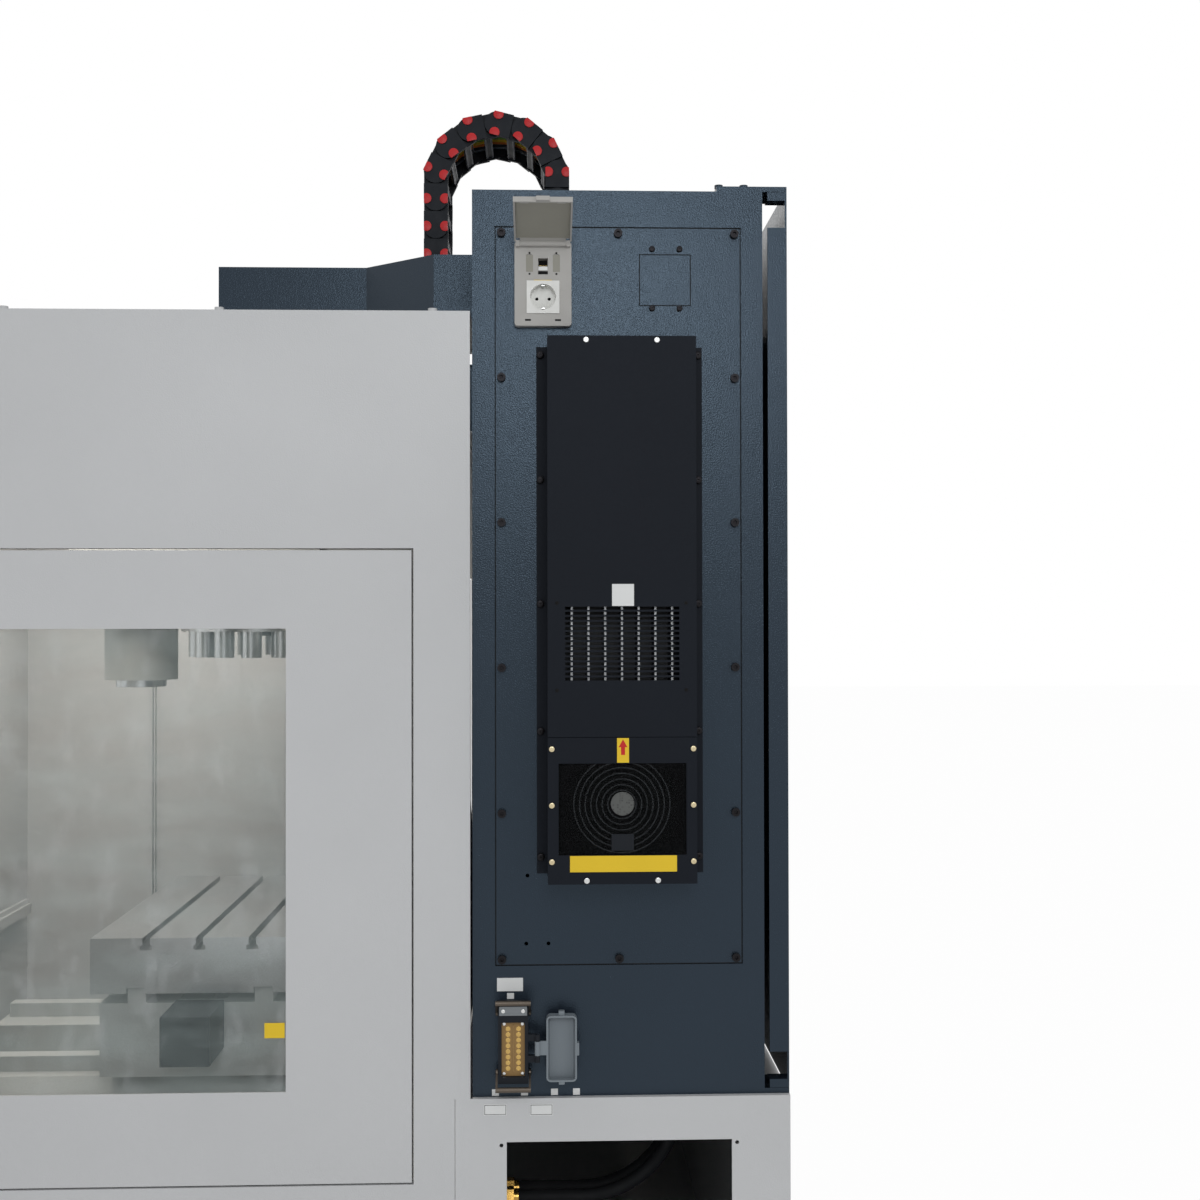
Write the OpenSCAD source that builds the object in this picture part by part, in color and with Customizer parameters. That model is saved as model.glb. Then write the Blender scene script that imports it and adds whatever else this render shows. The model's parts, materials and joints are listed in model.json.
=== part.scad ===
// Vertical machining center with a rear electrical cabinet and a cable drag chain.
// X is across the machine, the operator stands at -Y, the cabinet is at +Y, Z is up from the floor.
// Lengths along Y are measured from the front plane of the cabinet unless a comment says otherwise.

/* [Enclosure] */
// Width over the white side panels
enclosure_w = 1900; // [1860:10:2000]
// Height of the top edge of the side panels
panel_top = 1998; // [1950:1:2060]
// Reach of the enclosure forward of the cabinet
panel_front = 1300; // [1280:5:1400]
// Thickness of the sheet metal
sheet_t = 3; // [2:0.5:4]
// Height of the lower sheet edges above the floor
floor_gap = 90; // [80:1:110]
// Width of the folded flanges
flange_w = 40; // [30:1:50]
// Gap between fixed sheets that meet at a seam
seam = 0.8; // [0.4:0.1:0.9]

/* [Side doors] */
// Front edge of a side door, forward of the cabinet
door_front = 952; // [930:1:980]
// Rear edge of a side door, forward of the cabinet
door_rear = 92; // [70:1:110]
// Lower edge of a side door
door_low = 675; // [650:1:700]
// Upper edge of a side door
door_high = 1635; // [1600:1:1680]
// Gap round a door in its opening
door_seam = 3; // [2:0.5:5]
// Depth of the folded pan of a door
door_depth = 22; // [16:1:28]
// Front edge of the side window
window_front = 762; // [720:1:800]
// Rear edge of the side window
window_rear = 282; // [250:1:320]
// Lower edge of the side window
window_low = 814; // [790:1:850]
// Upper edge of the side window
window_high = 1516; // [1480:1:1540]
// Thickness of the window panes
pane_t = 6; // [4:1:10]
// Diameter of the hinge barrels
barrel_d = 18; // [16:1:22]
// Diameter of the hinge pins
pin_d = 8; // [6:0.5:10]
// Radial clearance of pins, shafts and screws in their bores
fit_clear = 0.05; // [0.02:0.01:0.1]

/* [Front doors] */
// Half of the clear width of the front opening
front_half = 415; // [380:5:440]
// Lower edge of the front opening
front_low = 790; // [770:1:820]
// Drop of the front opening's upper edge below the panel tops
front_drop = 118; // [100:1:190]
// Thickness of a sliding front door
front_door_t = 25; // [20:1:30]
// Lap of a sliding door behind the frame
front_lap = 20; // [12:1:30]

/* [Cabinet] */
// Set-back of the cabinet sides from the white side panels
cab_side = 10; // [5:1:30]
// Height of the cabinet floor
cab_low = 800; // [780:1:820]
// Height of the cabinet roof
cab_high = 2190; // [2150:1:2230]
// Depth of the cabinet body
cab_d = 448; // [430:1:480]
// Gap between the cabinet body and its rear doors
cab_door_gap = 8; // [6:0.5:10]
// Depth of the folded rear doors
cab_door_t = 30; // [28:1:40]
// Thickness of the pivot plates
pivot_t = 8; // [6:0.5:10]
// Distance of a pivot from the outer edge of its door
pivot_inset = 14; // [13:0.5:15]
// Length of a rear door's side fold that is cut away at each end
fold_end = 55; // [45:1:70]

/* [Side cover] */
// Front edge of the bolted cover
cover_y = 35; // [30:1:45]
// Distance of the cover's rear edge from the cabinet's rear edge
cover_back = 34; // [28:1:48]
// Lower edge of the bolted cover
cover_low = 1000; // [985:1:1010]
// Upper edge of the bolted cover
cover_high = 2133; // [2130:1:2140]
// Distance of the cover bolts from the edges
bolt_inset = 10; // [9:0.5:12]
// Head diameter of the cover bolts
bolt_d = 13; // [10:0.5:14]
// Rows of bolts up the sides of the cover
bolt_rows = 6; // [4:1:8]

/* [Heat exchanger] */
// Offset of the exchanger from the middle of the cover
ex_off = 1.5; // [-4:0.5:6]
// Middle of the exchanger along Z
ex_z = 1544; // [1530:1:1560]
// Width of the exchanger box
ex_w = 222; // [215:1:230]
// Height of the exchanger box
ex_h = 815; // [805:1:830]
// Depth of the exchanger box
ex_d = 80; // [75:1:90]
// Width of the exchanger's mounting flange
ex_flange_w = 255; // [252:1:262]
// Height of the exchanger's mounting flange
ex_flange_h = 807; // [800:1:812]
// Height of the removable filter cover
filter_h = 218; // [210:1:226]
// Width of the filter opening
filter_w = 190; // [180:1:196]
// Height of the filter opening
filter_open_h = 136; // [130:1:140]
// Distance of the filter opening above the cover's lower edge
filter_sill = 43; // [38:1:48]
// Rows of air slots
slot_rows = 15; // [10:1:16]
// Pitch of the air slots
slot_pitch = 7.5; // [7:0.1:8]
// Height of an air slot
slot_h = 4.5; // [3:0.1:5]
// Width of the air slots
slot_w = 170; // [150:1:180]
// Height of the lowest air slot above the filter cover
slot_rise = 84; // [75:1:95]
// Outer radius of the fan
fan_r = 60; // [50:1:64]
// Blades of the fan
fan_blades = 7; // [5:1:9]

/* [Service interface] */
// Middle of the interface along Y
if_y = 109; // [104:1:115]
// Lower edge of the interface frame
if_low = 1978; // [1972:1:1984]
// Width of the interface frame
if_w = 87; // [84:1:90]
// Height of the interface frame
if_h = 129; // [127:1:140]
// Depth of the interface frame
if_d = 14; // [12:0.5:16]
// Side of the square socket insert
socket_w = 50; // [46:0.5:52]
// Radius of the socket recess
socket_r = 19.75; // [19.5:0.05:20.5]
// Depth of the socket recess
socket_depth = 17.5; // [17:0.1:18]
// Length of the flip lid
lid_l = 122; // [118:1:126]
// Angle of the open lid from its closed place
lid_open = 107; // [95:1:115]

/* [Heavy connector] */
// Front edge of the connector housing
con_y = 40; // [36:0.5:44]
// Lower edge of the connector housing
con_z = 830; // [826:1:840]
// Width of the connector housing
con_w = 45; // [43:0.5:47]
// Height of the connector housing
con_h = 118; // [112:1:122]
// Depth of the connector housing
con_d = 36; // [32:1:40]
// Rows of contacts in the insert
contact_rows = 8; // [6:1:10]

/* [Base] */
// Lap of the base panels forward of the cabinet
skirt_lap = 26; // [20:1:32]
// Front edge of the hose cut-out
cut_y = 52; // [45:1:60]
// Rear edge of the hose cut-out
cut_rear = 396; // [380:1:405]
// Upper edge of the hose cut-out
cut_high = 734; // [720:1:745]
// Lower edge of the hose cut-out
cut_low = 420; // [380:5:460]
// Outer diameter of the hoses
hose_d = 22; // [16:1:26]
// Bend radius of the hoses
hose_bend = 160; // [120:5:180]

/* [Top guard] */
// Height of the guard above the roof sheet
guard_h = 169; // [140:1:186]
// Half width of the guard beside the cabinet
guard_half = 598; // [580:1:620]
// Half width of the guard at its front
guard_front_half = 491; // [470:1:510]
// Length of the wide stretch next to the cabinet
guard_wide = 83; // [75:1:95]
// End of the angled stretch, forward of the cabinet
guard_angle_end = 213; // [200:1:230]
// Front wall of the guard, forward of the cabinet
guard_front = 480; // [460:1:500]

/* [Machine] */
// Height of the table's top
table_top = 925; // [915:1:940]
// Width of the table
table_w = 700; // [640:10:760]
// Depth of the table
table_d = 410; // [400:5:420]
// Thickness of the table
table_t = 105; // [100:1:110]
// Pitch of the table slots
slot_gap = 100; // [80:1:110]
// Width of a table slot at the top
tslot_w = 14; // [12:0.5:18]
// Distance of the table's middle forward of the cabinet at rest
table_y = 545; // [540:1:560]
// Height of the saddle
saddle_t = 140; // [135:1:145]
// Width of the guide rails
rail_w = 35; // [30:1:40]
// Height of the guide rails
rail_h = 30; // [26:1:32]
// Lap of a carriage over its rail
rail_lap = 10; // [8:1:14]
// Clearance of a carriage on its rail
rail_clear = 0.5; // [0.3:0.1:0.8]
// Diameter of the ball screws
screw_d = 32; // [25:1:36]
// Travel of the table along X to each side
x_travel = 250; // [200:10:260]
// Travel of the saddle along Y
y_travel = 400; // [360:10:420]
// Half width of the column
column_half = 230; // [220:1:240]
// Front face of the column, forward of the cabinet
column_front = 320; // [310:1:330]
// Rear face of the column, forward of the cabinet
column_rear = 30; // [28:1:40]
// Distance of the column's top below the upper edge of the side panels
column_drop = 13; // [4:1:38]
// Spindle axis, forward of the cabinet
spindle_y = 745; // [735:1:760]
// Depth of the spindle nose below the column's top at rest
nose_drop = 598; // [585:1:605]
// Diameter of the spindle
spindle_d = 80; // [70:1:90]
// Radius of the tool disc
disc_r = 190; // [170:1:195]
// Tools in the disc
disc_tools = 14; // [8:1:16]

/* [Drag chain] */
// Distance between the pivots of a link
pitch = 52; // [50:0.5:52]
// Height of a link's side plate
link_h = 45; // [42:0.5:46]
// Width over the links
chain_w = 156; // [140:1:160]
// Middle of the chain along X
chain_x = 339; // [335:1:345]
// Fixed leg of the chain, behind the cabinet's front
chain_y = 136; // [130:1:142]
// Height of the first pivot above the cabinet roof
chain_rise = 24; // [24:0.5:30]
// Links in the hanging leg
leg_links = 9; // [8:1:9]

/* [Control panel] */
// Width of the control panel
panel_w = 340; // [300:5:360]
// Height of the control panel
panel_h = 600; // [520:5:640]
// Depth of the control panel
panel_d = 64; // [55:1:75]
// Lower edge of the control panel
panel_low = 1130; // [1100:5:1180]
// Diameter of the stop button
stop_d = 40; // [34:1:44]

/* [Hidden] */
$fn = 48;
// Small overlap of cutting tools past a face
past = 1;
// Clearance between pieces that move past each other
run = 0.5;
half = enclosure_w / 2;
guard_top = panel_top + sheet_t + guard_h;
front_high = panel_top - front_drop;
column_top = panel_top - column_drop;
nose_z = column_top - nose_drop;
cab_half = half - cab_side;
cab_rear = cab_d + cab_door_gap + cab_door_t;
front_in = -panel_front + sheet_t;
skirt_y = -skirt_lap;
// Hinges of the side doors
barrel_x = half + barrel_d / 2 + run;
barrel_y = -door_front - door_seam;
barrel_h = 40;
hinge_in = 150;
hinge_rows = [door_low + hinge_in, door_high - hinge_in];
leaf_w = 30;
// Height levels of the machine
table_low = table_top - table_t;
saddle_top = table_low - rail_h + rail_lap;
saddle_low = saddle_top - saddle_t;
way_top = saddle_low - rail_h + rail_lap;
bed_low = floor_gap;
bed_plate_t = 40;
screw_drop = 40;
y_screw_z = way_top - screw_drop;
x_screw_z = saddle_top - screw_drop;
way_x = 210;
way_y = 120;
z_way_x = 150;
saddle_l = 380;
saddle_over = 90;
saddle_half = x_travel + saddle_over;
bed_over = 150;
bed_front = table_y + y_travel + bed_over;
z_screw_in = 20;
z_screw_y = -column_front + z_screw_in;
carriage_front = -column_front - rail_h + rail_lap;
head_plate_t = 50;
head_plate_rise = 93;
head_plate_low = nose_z + head_plate_rise;
head_plate_h = 420;
head_plate_half = 200;
arm_rise = 173;
arm_low = nose_z + arm_rise;
arm_h = 220;
arm_half = 140;
block_t = 30;
block_half = 60;
motor_w = 90;
motor_l = 130;
// Cover and exchanger
cover_rear = cab_d - cover_back;
ex_y = (cover_y + cover_rear) / 2 + ex_off;
ex_x = cab_half;
ex_front = cab_half + ex_d;
ex_low = ex_z - ex_h / 2;
filter_top = ex_low + filter_h;
fan_rise = 8;
fan_z = ex_low + filter_sill + filter_open_h / 2 + fan_rise;
skin = 2;
// Interface and connector
if_front = cab_half + if_d;
lid_drop = 4;
lid_axis_z = if_low + if_h - lid_drop;
lid_out = 5;
lid_axis_x = if_front + lid_out;
socket_rise = 44;
socket_z = if_low + socket_rise;
con_front = cab_half + con_d;
// Drag chain
arch_bends = 7;
bend = 180 / arch_bends;
chain_z = cab_high + chain_rise;
moving_bends = 3;
plate_layer = 7;
layer_gap = 0.5;
pivot_d = 12;
dot_d = 13;
dot_h = 1.5;
arch_start = moving_bends + 1;
// Reach of the whole machine and the shift that centres it on the origin
stop_h = 24;
right_reach = lid_axis_x + lid_l * sin(lid_open);
left_reach = barrel_x + barrel_d / 2;
panel_gap = 14;
front_reach = panel_front + panel_gap + panel_d + stop_h;
shift = [(left_reach - right_reach) / 2, (front_reach - cab_rear) / 2, 0];

// Paint and finish colours
white = [0.78, 0.79, 0.79];
slate = [0.19, 0.25, 0.31];
dark = [0.13, 0.13, 0.15];
beige = [0.68, 0.66, 0.62];
iron = [0.42, 0.44, 0.45];
steel = [0.7, 0.71, 0.72];
gold = [0.6, 0.45, 0.22];

// Box between two opposite corners
module block(a, b) { translate(a) cube(b - a); }
// Round bars along the three axes, starting at p
module rod_x(p, d, l) { translate(p) rotate([0, 90, 0]) cylinder(d = d, h = l); }
module rod_y(p, d, l) { translate(p) rotate([-90, 0, 0]) cylinder(d = d, h = l); }
module rod_z(p, d, l) { translate(p) cylinder(d = d, h = l); }
// Outline drawn in Y and Z, thick along +X from x0
module sheet_x(x0, t) { translate([x0, 0, 0]) rotate([90, 0, 90]) linear_extrude(t) children(); }
// Outline drawn in X and Z, thick along +Y from y0
module sheet_y(y0, t) { translate([0, y0 + t, 0]) rotate([90, 0, 0]) linear_extrude(t) children(); }
// Rectangle between two corners
module rect(a, b) { translate(a) square(b - a); }
// Rectangular ring between two corners, w wide inwards
module ring(a, b, w) {
  difference() {
    rect(a, b);
    rect(a + [w, w], b - [w, w]);
  }
}
module both_sides() {
  children();
  mirror([1, 0, 0]) children();
}
// Moves the machine so that the middle of its footprint is the origin
module placed() { translate(shift) children(); }

// Outline of a side panel in Y and Z, with its door opening and the step above the base panels
module panel_outline() {
  difference() {
    union() {
      rect([-panel_front, floor_gap], [-skirt_lap - seam, panel_top]);
      rect([-panel_front, cab_low], [-sheet_t, panel_top]);
    }
    rect([-door_front - door_seam, door_low - door_seam], [-door_rear + door_seam, door_high + door_seam]);
  }
}
// Fixed half of the door hinges: two outer barrels on a leaf, with the pin
module hinge_fixed() {
  for (z = hinge_rows) {
    for (s = [-1, 1]) {
      zc = z + s * (barrel_h + run);
      rod_z([barrel_x, barrel_y, zc - barrel_h / 2], barrel_d, barrel_h);
      block([half, barrel_y - leaf_w, zc - barrel_h / 2], [half + sheet_t, barrel_y, zc + barrel_h / 2]);
    }
    rod_z([barrel_x, barrel_y, z - barrel_h * 1.5], pin_d, barrel_h * 3);
  }
}
// Moving half of the door hinges: the middle barrel on its leaf
module hinge_moving() {
  for (z = hinge_rows) {
    difference() {
      union() {
        rod_z([barrel_x, barrel_y, z - barrel_h / 2], barrel_d, barrel_h);
        block([half, barrel_y, z - barrel_h / 2], [half + sheet_t, barrel_y + leaf_w, z + barrel_h / 2]);
      }
      rod_z([barrel_x, barrel_y, z - barrel_h], pin_d + 2 * fit_clear, barrel_h * 2);
    }
  }
}
// Folded side panel with its top flange, door frame and hinges
module side_panel() {
  frame_d = door_depth + sheet_t;
  sheet_x(half - sheet_t, sheet_t) panel_outline();
  block([half - flange_w, -panel_front + sheet_t, panel_top - sheet_t], [half, -sheet_t, panel_top]);
  sheet_x(half - frame_d, frame_d)
    ring(
      [-door_front - door_seam - sheet_t, door_low - door_seam - sheet_t],
      [-door_rear + door_seam + sheet_t, door_high + door_seam + sheet_t], sheet_t);
  hinge_fixed();
}
// Outline of a side door in Y and Z
module door_outline() { rect([-door_front, door_low], [-door_rear, door_high]); }
module window_outline() { rect([-window_front, window_low], [-window_rear, window_high]); }
// Folded side door: face, returns on four edges and the moving hinge halves
module side_door_pan() {
  sheet_x(half - sheet_t, sheet_t) door_outline();
  sheet_x(half - door_depth, door_depth)
    ring([-door_front, door_low], [-door_rear, door_high], sheet_t);
  hinge_moving();
}

module right_panel() { color(white) side_panel(); }
module left_panel() { color(white) mirror([1, 0, 0]) side_panel(); }
module right_door() {
  color(white) difference() {
    side_door_pan();
    sheet_x(half - sheet_t - past, sheet_t + 2 * past) window_outline();
  }
}
// Pane glued behind the cut-out of the right door
pane_lap = 15;
module right_window() {
  color([0.6, 0.7, 0.7, 0.4]) sheet_x(half - sheet_t - pane_t, pane_t)
    rect(
      [-window_front - pane_lap, window_low - pane_lap],
      [-window_rear + pane_lap, window_high + pane_lap]);
}
// Left door with the bore for its handle
handle_in = 70;
handle_y = -door_rear - handle_in;
handle_z = (door_low + door_high) / 2;
handle_shaft = 12;
module left_door() {
  color(white) mirror([1, 0, 0]) difference() {
    side_door_pan();
    rod_x([half - sheet_t - past, handle_y, handle_z], handle_shaft + 2 * fit_clear, sheet_t + 2 * past);
  }
}
// Lever handle inside the left door
handle_l = 120;
handle_t = 14;
handle_out = 50;
module left_handle() {
  stem_x = -half + sheet_t + run;
  color(dark) {
    rod_x([-half, handle_y, handle_z], handle_shaft, handle_out);
    rod_x([stem_x, handle_y, handle_z], 2 * handle_shaft, handle_t);
    translate([-half + handle_out - handle_t / 2, handle_y, handle_z]) rotate([90, 0, 0])
      cylinder(d = handle_t, h = handle_l);
  }
}

// Base panels under the cabinet, one folded tray with a hose cut-out on its right side
skirt_hole = [8, 5];
skirt_hole_d = 6;
module rear_skirt() {
  color(white) {
    difference() {
      union() {
        both_sides() sheet_x(half - sheet_t, sheet_t) rect([skirt_y, floor_gap], [cab_rear, cab_low]);
        block([-half, skirt_y, floor_gap], [half, cab_rear, floor_gap + sheet_t]);
        block([-half, cab_rear - sheet_t, floor_gap], [half, cab_rear, cab_low]);
        block([-half, skirt_y, floor_gap], [half, skirt_y + sheet_t, cab_low - sheet_t]);
        translate([0, 0, cab_low - sheet_t]) linear_extrude(sheet_t)
          ring([-half, 0], [half, cab_rear], flange_w);
      }
      sheet_x(half - sheet_t - past, sheet_t + 2 * past) rect([cut_y, cut_low], [cut_rear, cut_high]);
      for (y = [cut_y - skirt_hole[0], cut_rear + skirt_hole[0]])
        rod_x([half - sheet_t - past, y, cut_high - skirt_hole[1]], skirt_hole_d, sheet_t + 2 * past);
    }
  }
}
// Plan of the guard, drawn in by d from its outer faces
function guard_plan(d) = [
  [guard_half - d, d > 0 ? past : 0], [guard_half - d, -guard_wide], [guard_front_half - d, -guard_angle_end],
  [guard_front_half - d, -guard_front + d], [-guard_front_half + d, -guard_front + d],
  [-guard_front_half + d, -guard_angle_end], [-guard_half + d, -guard_wide],
  [-guard_half + d, d > 0 ? past : 0]
];
module guard_ring(w) {
  difference() {
    polygon(guard_plan(0));
    polygon(guard_plan(w));
  }
}
guard_lip = 18;
roof_bolt_d = 14;
roof_bolt_gap = 326;
roof_bolt_y = 61;
roof_bolt_h = 7;
roof_bolts = 4;
// White roof sheet with the opening under the guard and its row of bolts
module roof_panel() {
  color(white) {
    translate([0, 0, panel_top]) linear_extrude(sheet_t) difference() {
      rect([-half, -panel_front], [half, -sheet_t]);
      polygon(guard_plan(guard_lip));
    }
    both_sides() for (i = [0:roof_bolts - 1])
      rod_z([half - flange_w / 2, -roof_bolt_y - i * roof_bolt_gap, panel_top + sheet_t],
        roof_bolt_d, roof_bolt_h);
  }
}
// Dark guard round the column and the chain, open at the top
module top_guard() {
  low = panel_top + sheet_t;
  color(slate) {
    translate([0, 0, low]) linear_extrude(guard_top - low) guard_ring(sheet_t);
    for (z = [low, guard_top - sheet_t])
      translate([0, 0, z]) linear_extrude(sheet_t) guard_ring(guard_lip);
  }
}

// Sliding front doors run on a lower and an upper guide strip
guide_t = 10;
guide_h = 12;
guide_clear = 0.3;
slide_in = 7;
slide_y = front_in + slide_in;
slide_sill = 20;
slide_head = 12;
slide_low = front_low - slide_sill;
slide_high = front_high + slide_head;
guide_y = slide_y + front_door_t / 2 - guide_t / 2;
guide_end = 70;
guide_half = half - guide_end;
track_gap = 2;
track_h = 26;
// Axis of the control panel's swivel
swivel_in = 90;
swivel = [half - swivel_in, -panel_front - panel_gap];
swivel_arm = 8;
swivel_d = 24;
swivel_h = 60;
swivel_z = panel_low + panel_h / 2;
// Front fascia with the door opening, the door tracks and the panel's swivel pin
module front_frame() {
  edge = half - sheet_t;
  track_in = slide_y + front_door_t;
  low = slide_low - track_gap;
  high = slide_high + track_gap;
  color(white) {
    sheet_y(-panel_front, sheet_t) difference() {
      rect([-edge, floor_gap], [edge, panel_top]);
      rect([-front_half, front_low], [front_half, front_high]);
    }
    block([-guide_half, front_in, low - track_h], [guide_half, track_in, low]);
    block([-guide_half, guide_y, low], [guide_half, guide_y + guide_t, low + guide_h]);
    block([-guide_half, front_in, high], [guide_half, track_in, high + track_h]);
    block([-guide_half, guide_y, high - guide_h], [guide_half, guide_y + guide_t, high]);
    for (s = [-1, 1]) {
      zc = swivel_z + s * (swivel_h + run);
      rod_z([swivel[0], swivel[1], zc - swivel_h / 2], swivel_d, swivel_h);
      block([swivel[0] - swivel_arm, swivel[1], zc - swivel_h / 2],
        [swivel[0] + swivel_arm, -panel_front, zc + swivel_h / 2]);
    }
    rod_z([swivel[0], swivel[1], swivel_z - swivel_h * 1.5], swivel_d / 2, swivel_h * 3);
  }
}
// Right-hand sliding door with its window cut-out, guide grooves and pull handle
pane_side = [80, 65];
pane_sill = 290;
pane_head = 180;
slide_window = [[pane_side[0], front_low + pane_sill], [front_half - pane_side[1], front_high - pane_head]];
pull_x = [12, 28];
pull_rise = 410;
pull_l = 300;
pull_z = [front_low + pull_rise, front_low + pull_rise + pull_l];
pull_out = 34;
pull_t = [14, 16];
module slide_door() {
  groove = guide_t + 2 * run;
  rise = guide_h - track_gap + guide_clear;
  difference() {
    block([run, slide_y, slide_low], [front_half + front_lap, slide_y + front_door_t, slide_high]);
    sheet_y(slide_y - past, front_door_t + 2 * past) rect(slide_window[0], slide_window[1]);
    for (z = [slide_low - past, slide_high - rise])
      block([-past, guide_y - run, z], [half, guide_y - run + groove, z + rise + past]);
  }
  difference() {
    block([pull_x[0], slide_y - pull_out, pull_z[0]], [pull_x[1], slide_y, pull_z[1]]);
    block(
      [pull_x[0] - past, slide_y - pull_out + pull_t[0], pull_z[0] + pull_t[1]],
      [pull_x[1] + past, slide_y + past, pull_z[1] - pull_t[1]]);
  }
}
module slide_pane() {
  lap = [pane_lap, pane_lap];
  sheet_y(slide_y + front_door_t, pane_t) rect(slide_window[0] - lap, slide_window[1] + lap);
}
module front_door_right() { color(white) slide_door(); }
module front_door_left() { color(white) mirror([1, 0, 0]) slide_door(); }
module front_window_right() { color([0.6, 0.7, 0.7, 0.4]) slide_pane(); }
module front_window_left() { color([0.6, 0.7, 0.7, 0.4]) mirror([1, 0, 0]) slide_pane(); }

// Swivelling control panel with a screen pocket, a key field and the stop button's bore
stop_stem = 16;
stop_lift = 6;
panel_hang = 15;
panel_x = swivel[0] - panel_hang;
panel_face = swivel[1] - panel_d;
stop_in = 60;
stop_x = panel_x - stop_in;
stop_z = panel_low + stop_in;
stop_bore = 30;
stop_stem_l = 24;
pocket = 3;
pocket_in = 30;
screen_top = 40;
screen_h = 210;
keys_low = 120;
keys_gap = 30;
module control_panel() {
  screen_high = panel_low + panel_h - screen_top;
  color(dark) difference() {
    union() {
      block([panel_x - panel_w, panel_face, panel_low], [panel_x, swivel[1], panel_low + panel_h]);
      rod_z([swivel[0], swivel[1], swivel_z - swivel_h / 2], swivel_d, swivel_h);
      block([panel_x - past, swivel[1] - swivel_d / 2, swivel_z - swivel_h / 2],
        [swivel[0], swivel[1] - past, swivel_z + swivel_h / 2]);
    }
    rod_z([swivel[0], swivel[1], swivel_z - swivel_h], swivel_d / 2 + 2 * fit_clear, swivel_h * 2);
    block([panel_x - panel_w + pocket_in, panel_face - past, screen_high - screen_h],
      [panel_x - pocket_in, panel_face + pocket, screen_high]);
    block([panel_x - panel_w + pocket_in, panel_face - past, panel_low + keys_low],
      [panel_x - pocket_in, panel_face + pocket, screen_high - screen_h - keys_gap]);
    rod_y([stop_x, panel_face - past, stop_z], stop_stem + 2 * fit_clear, stop_bore);
  }
}
module stop_button() {
  color([0.75, 0.1, 0.1]) {
    rod_y([stop_x, panel_face - stop_lift, stop_z], stop_stem, stop_stem_l);
    rod_y([stop_x, panel_face - stop_h, stop_z], stop_d, stop_h - stop_lift);
  }
}

// Cabinet: sides, roof, floor and front wall, with the framed opening for the bolted cover
rear_lip = 30;
cable_slot = [110, 36];
plate_lap = 71;
plate_from = cab_d - plate_lap;
plate_w = 70;
con_cut = 8;
module cabinet_shell() {
  frame_w = 2 * bolt_inset;
  color(slate) difference() {
    union() {
      difference() {
        block([-cab_half, 0, cab_low], [cab_half, cab_d, cab_high]);
        block([-cab_half + sheet_t, sheet_t, cab_low + sheet_t],
          [cab_half - sheet_t, cab_d + past, cab_high - sheet_t]);
      }
      sheet_y(cab_d - sheet_t, sheet_t) ring([-cab_half, cab_low], [cab_half, cab_high], rear_lip);
      sheet_x(cab_half - 2 * sheet_t, sheet_t)
        ring([cover_y - bolt_inset, cover_low - bolt_inset],
          [cover_rear + bolt_inset, cover_high + bolt_inset], frame_w + bolt_inset);
    }
    sheet_x(cab_half - sheet_t, sheet_t + past)
      rect([cover_y - seam, cover_low - seam], [cover_rear + seam, cover_high + seam]);
    sheet_x(cab_half - 3 * sheet_t, 4 * sheet_t)
      rect([con_y + con_cut, con_z + con_cut], [con_y + con_w - con_cut, con_z + con_h - con_cut]);
    both_sides() block([cab_half - plate_w, plate_from, cab_low - past],
      [cab_half + past, cab_d + past, cab_low + pivot_t]);
    block([chain_x - cable_slot[0] / 2, chain_y - cable_slot[1] / 2, cab_high - sheet_t - past],
      [chain_x + cable_slot[0] / 2, chain_y + cable_slot[1] / 2, cab_high + past]);
  }
}
// Bolts of the cover: two columns and one in the middle of the upper and lower edges
cover_cols = [cover_y + bolt_inset, cover_rear - bolt_inset];
cover_rows = [for (i = [0:bolt_rows - 1])
  cover_low + bolt_inset + i * (cover_high - cover_low - 2 * bolt_inset) / (bolt_rows - 1)];
cover_bolt_places = concat(
  [for (y = cover_cols) for (z = cover_rows) [y, z]],
  [for (z = [cover_rows[0], cover_rows[bolt_rows - 1]]) [(cover_y + cover_rear) / 2, z]]);
bolt_h = 8;
bolt_shank = 8;
module cover_bolts() {
  color(dark) for (p = cover_bolt_places) difference() {
    union() {
      rod_x([cab_half, p[0], p[1]], bolt_d, bolt_h);
      rod_x([cab_half - sheet_t, p[0], p[1]], bolt_shank, sheet_t);
    }
    translate([cab_half + bolt_h / 2, p[0], p[1]]) rotate([0, 90, 0])
      cylinder(d = bolt_d / 2, h = bolt_h, $fn = 6);
  }
}
// Square knock-out of the cover: its middle, size, groove and four screw holes
knock_in = [117, 81];
knock = [cover_rear, cover_high] - knock_in;
knock_w = 80;
groove_w = 1.5;
knock_screw = [21, 46];
spare_holes = [[84, 1137], [82, 1033], [116, 1033]];
spare_d = 6;
if_cut = 12;
if_cut_top = 22;
module cabinet_cover() {
  color(slate) difference() {
    sheet_x(cab_half - sheet_t, sheet_t) difference() {
      rect([cover_y, cover_low], [cover_rear, cover_high]);
      for (p = cover_bolt_places) translate(p) circle(d = bolt_shank);
      air_ports();
      rect([if_y - if_w / 2 + if_cut, if_low + if_cut],
        [if_y + if_w / 2 - if_cut, if_low + if_h - if_cut_top]);
      for (p = spare_holes) translate(p) circle(d = spare_d);
      for (s = [-1, 1], t = [-1, 1])
        translate(knock + [s * knock_screw[0], t * knock_screw[1]]) circle(d = spare_d);
    }
    sheet_x(cab_half - sheet_t / 2, sheet_t)
      ring(knock - [knock_w, knock_w] / 2, knock + [knock_w, knock_w] / 2, groove_w);
  }
}
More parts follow.
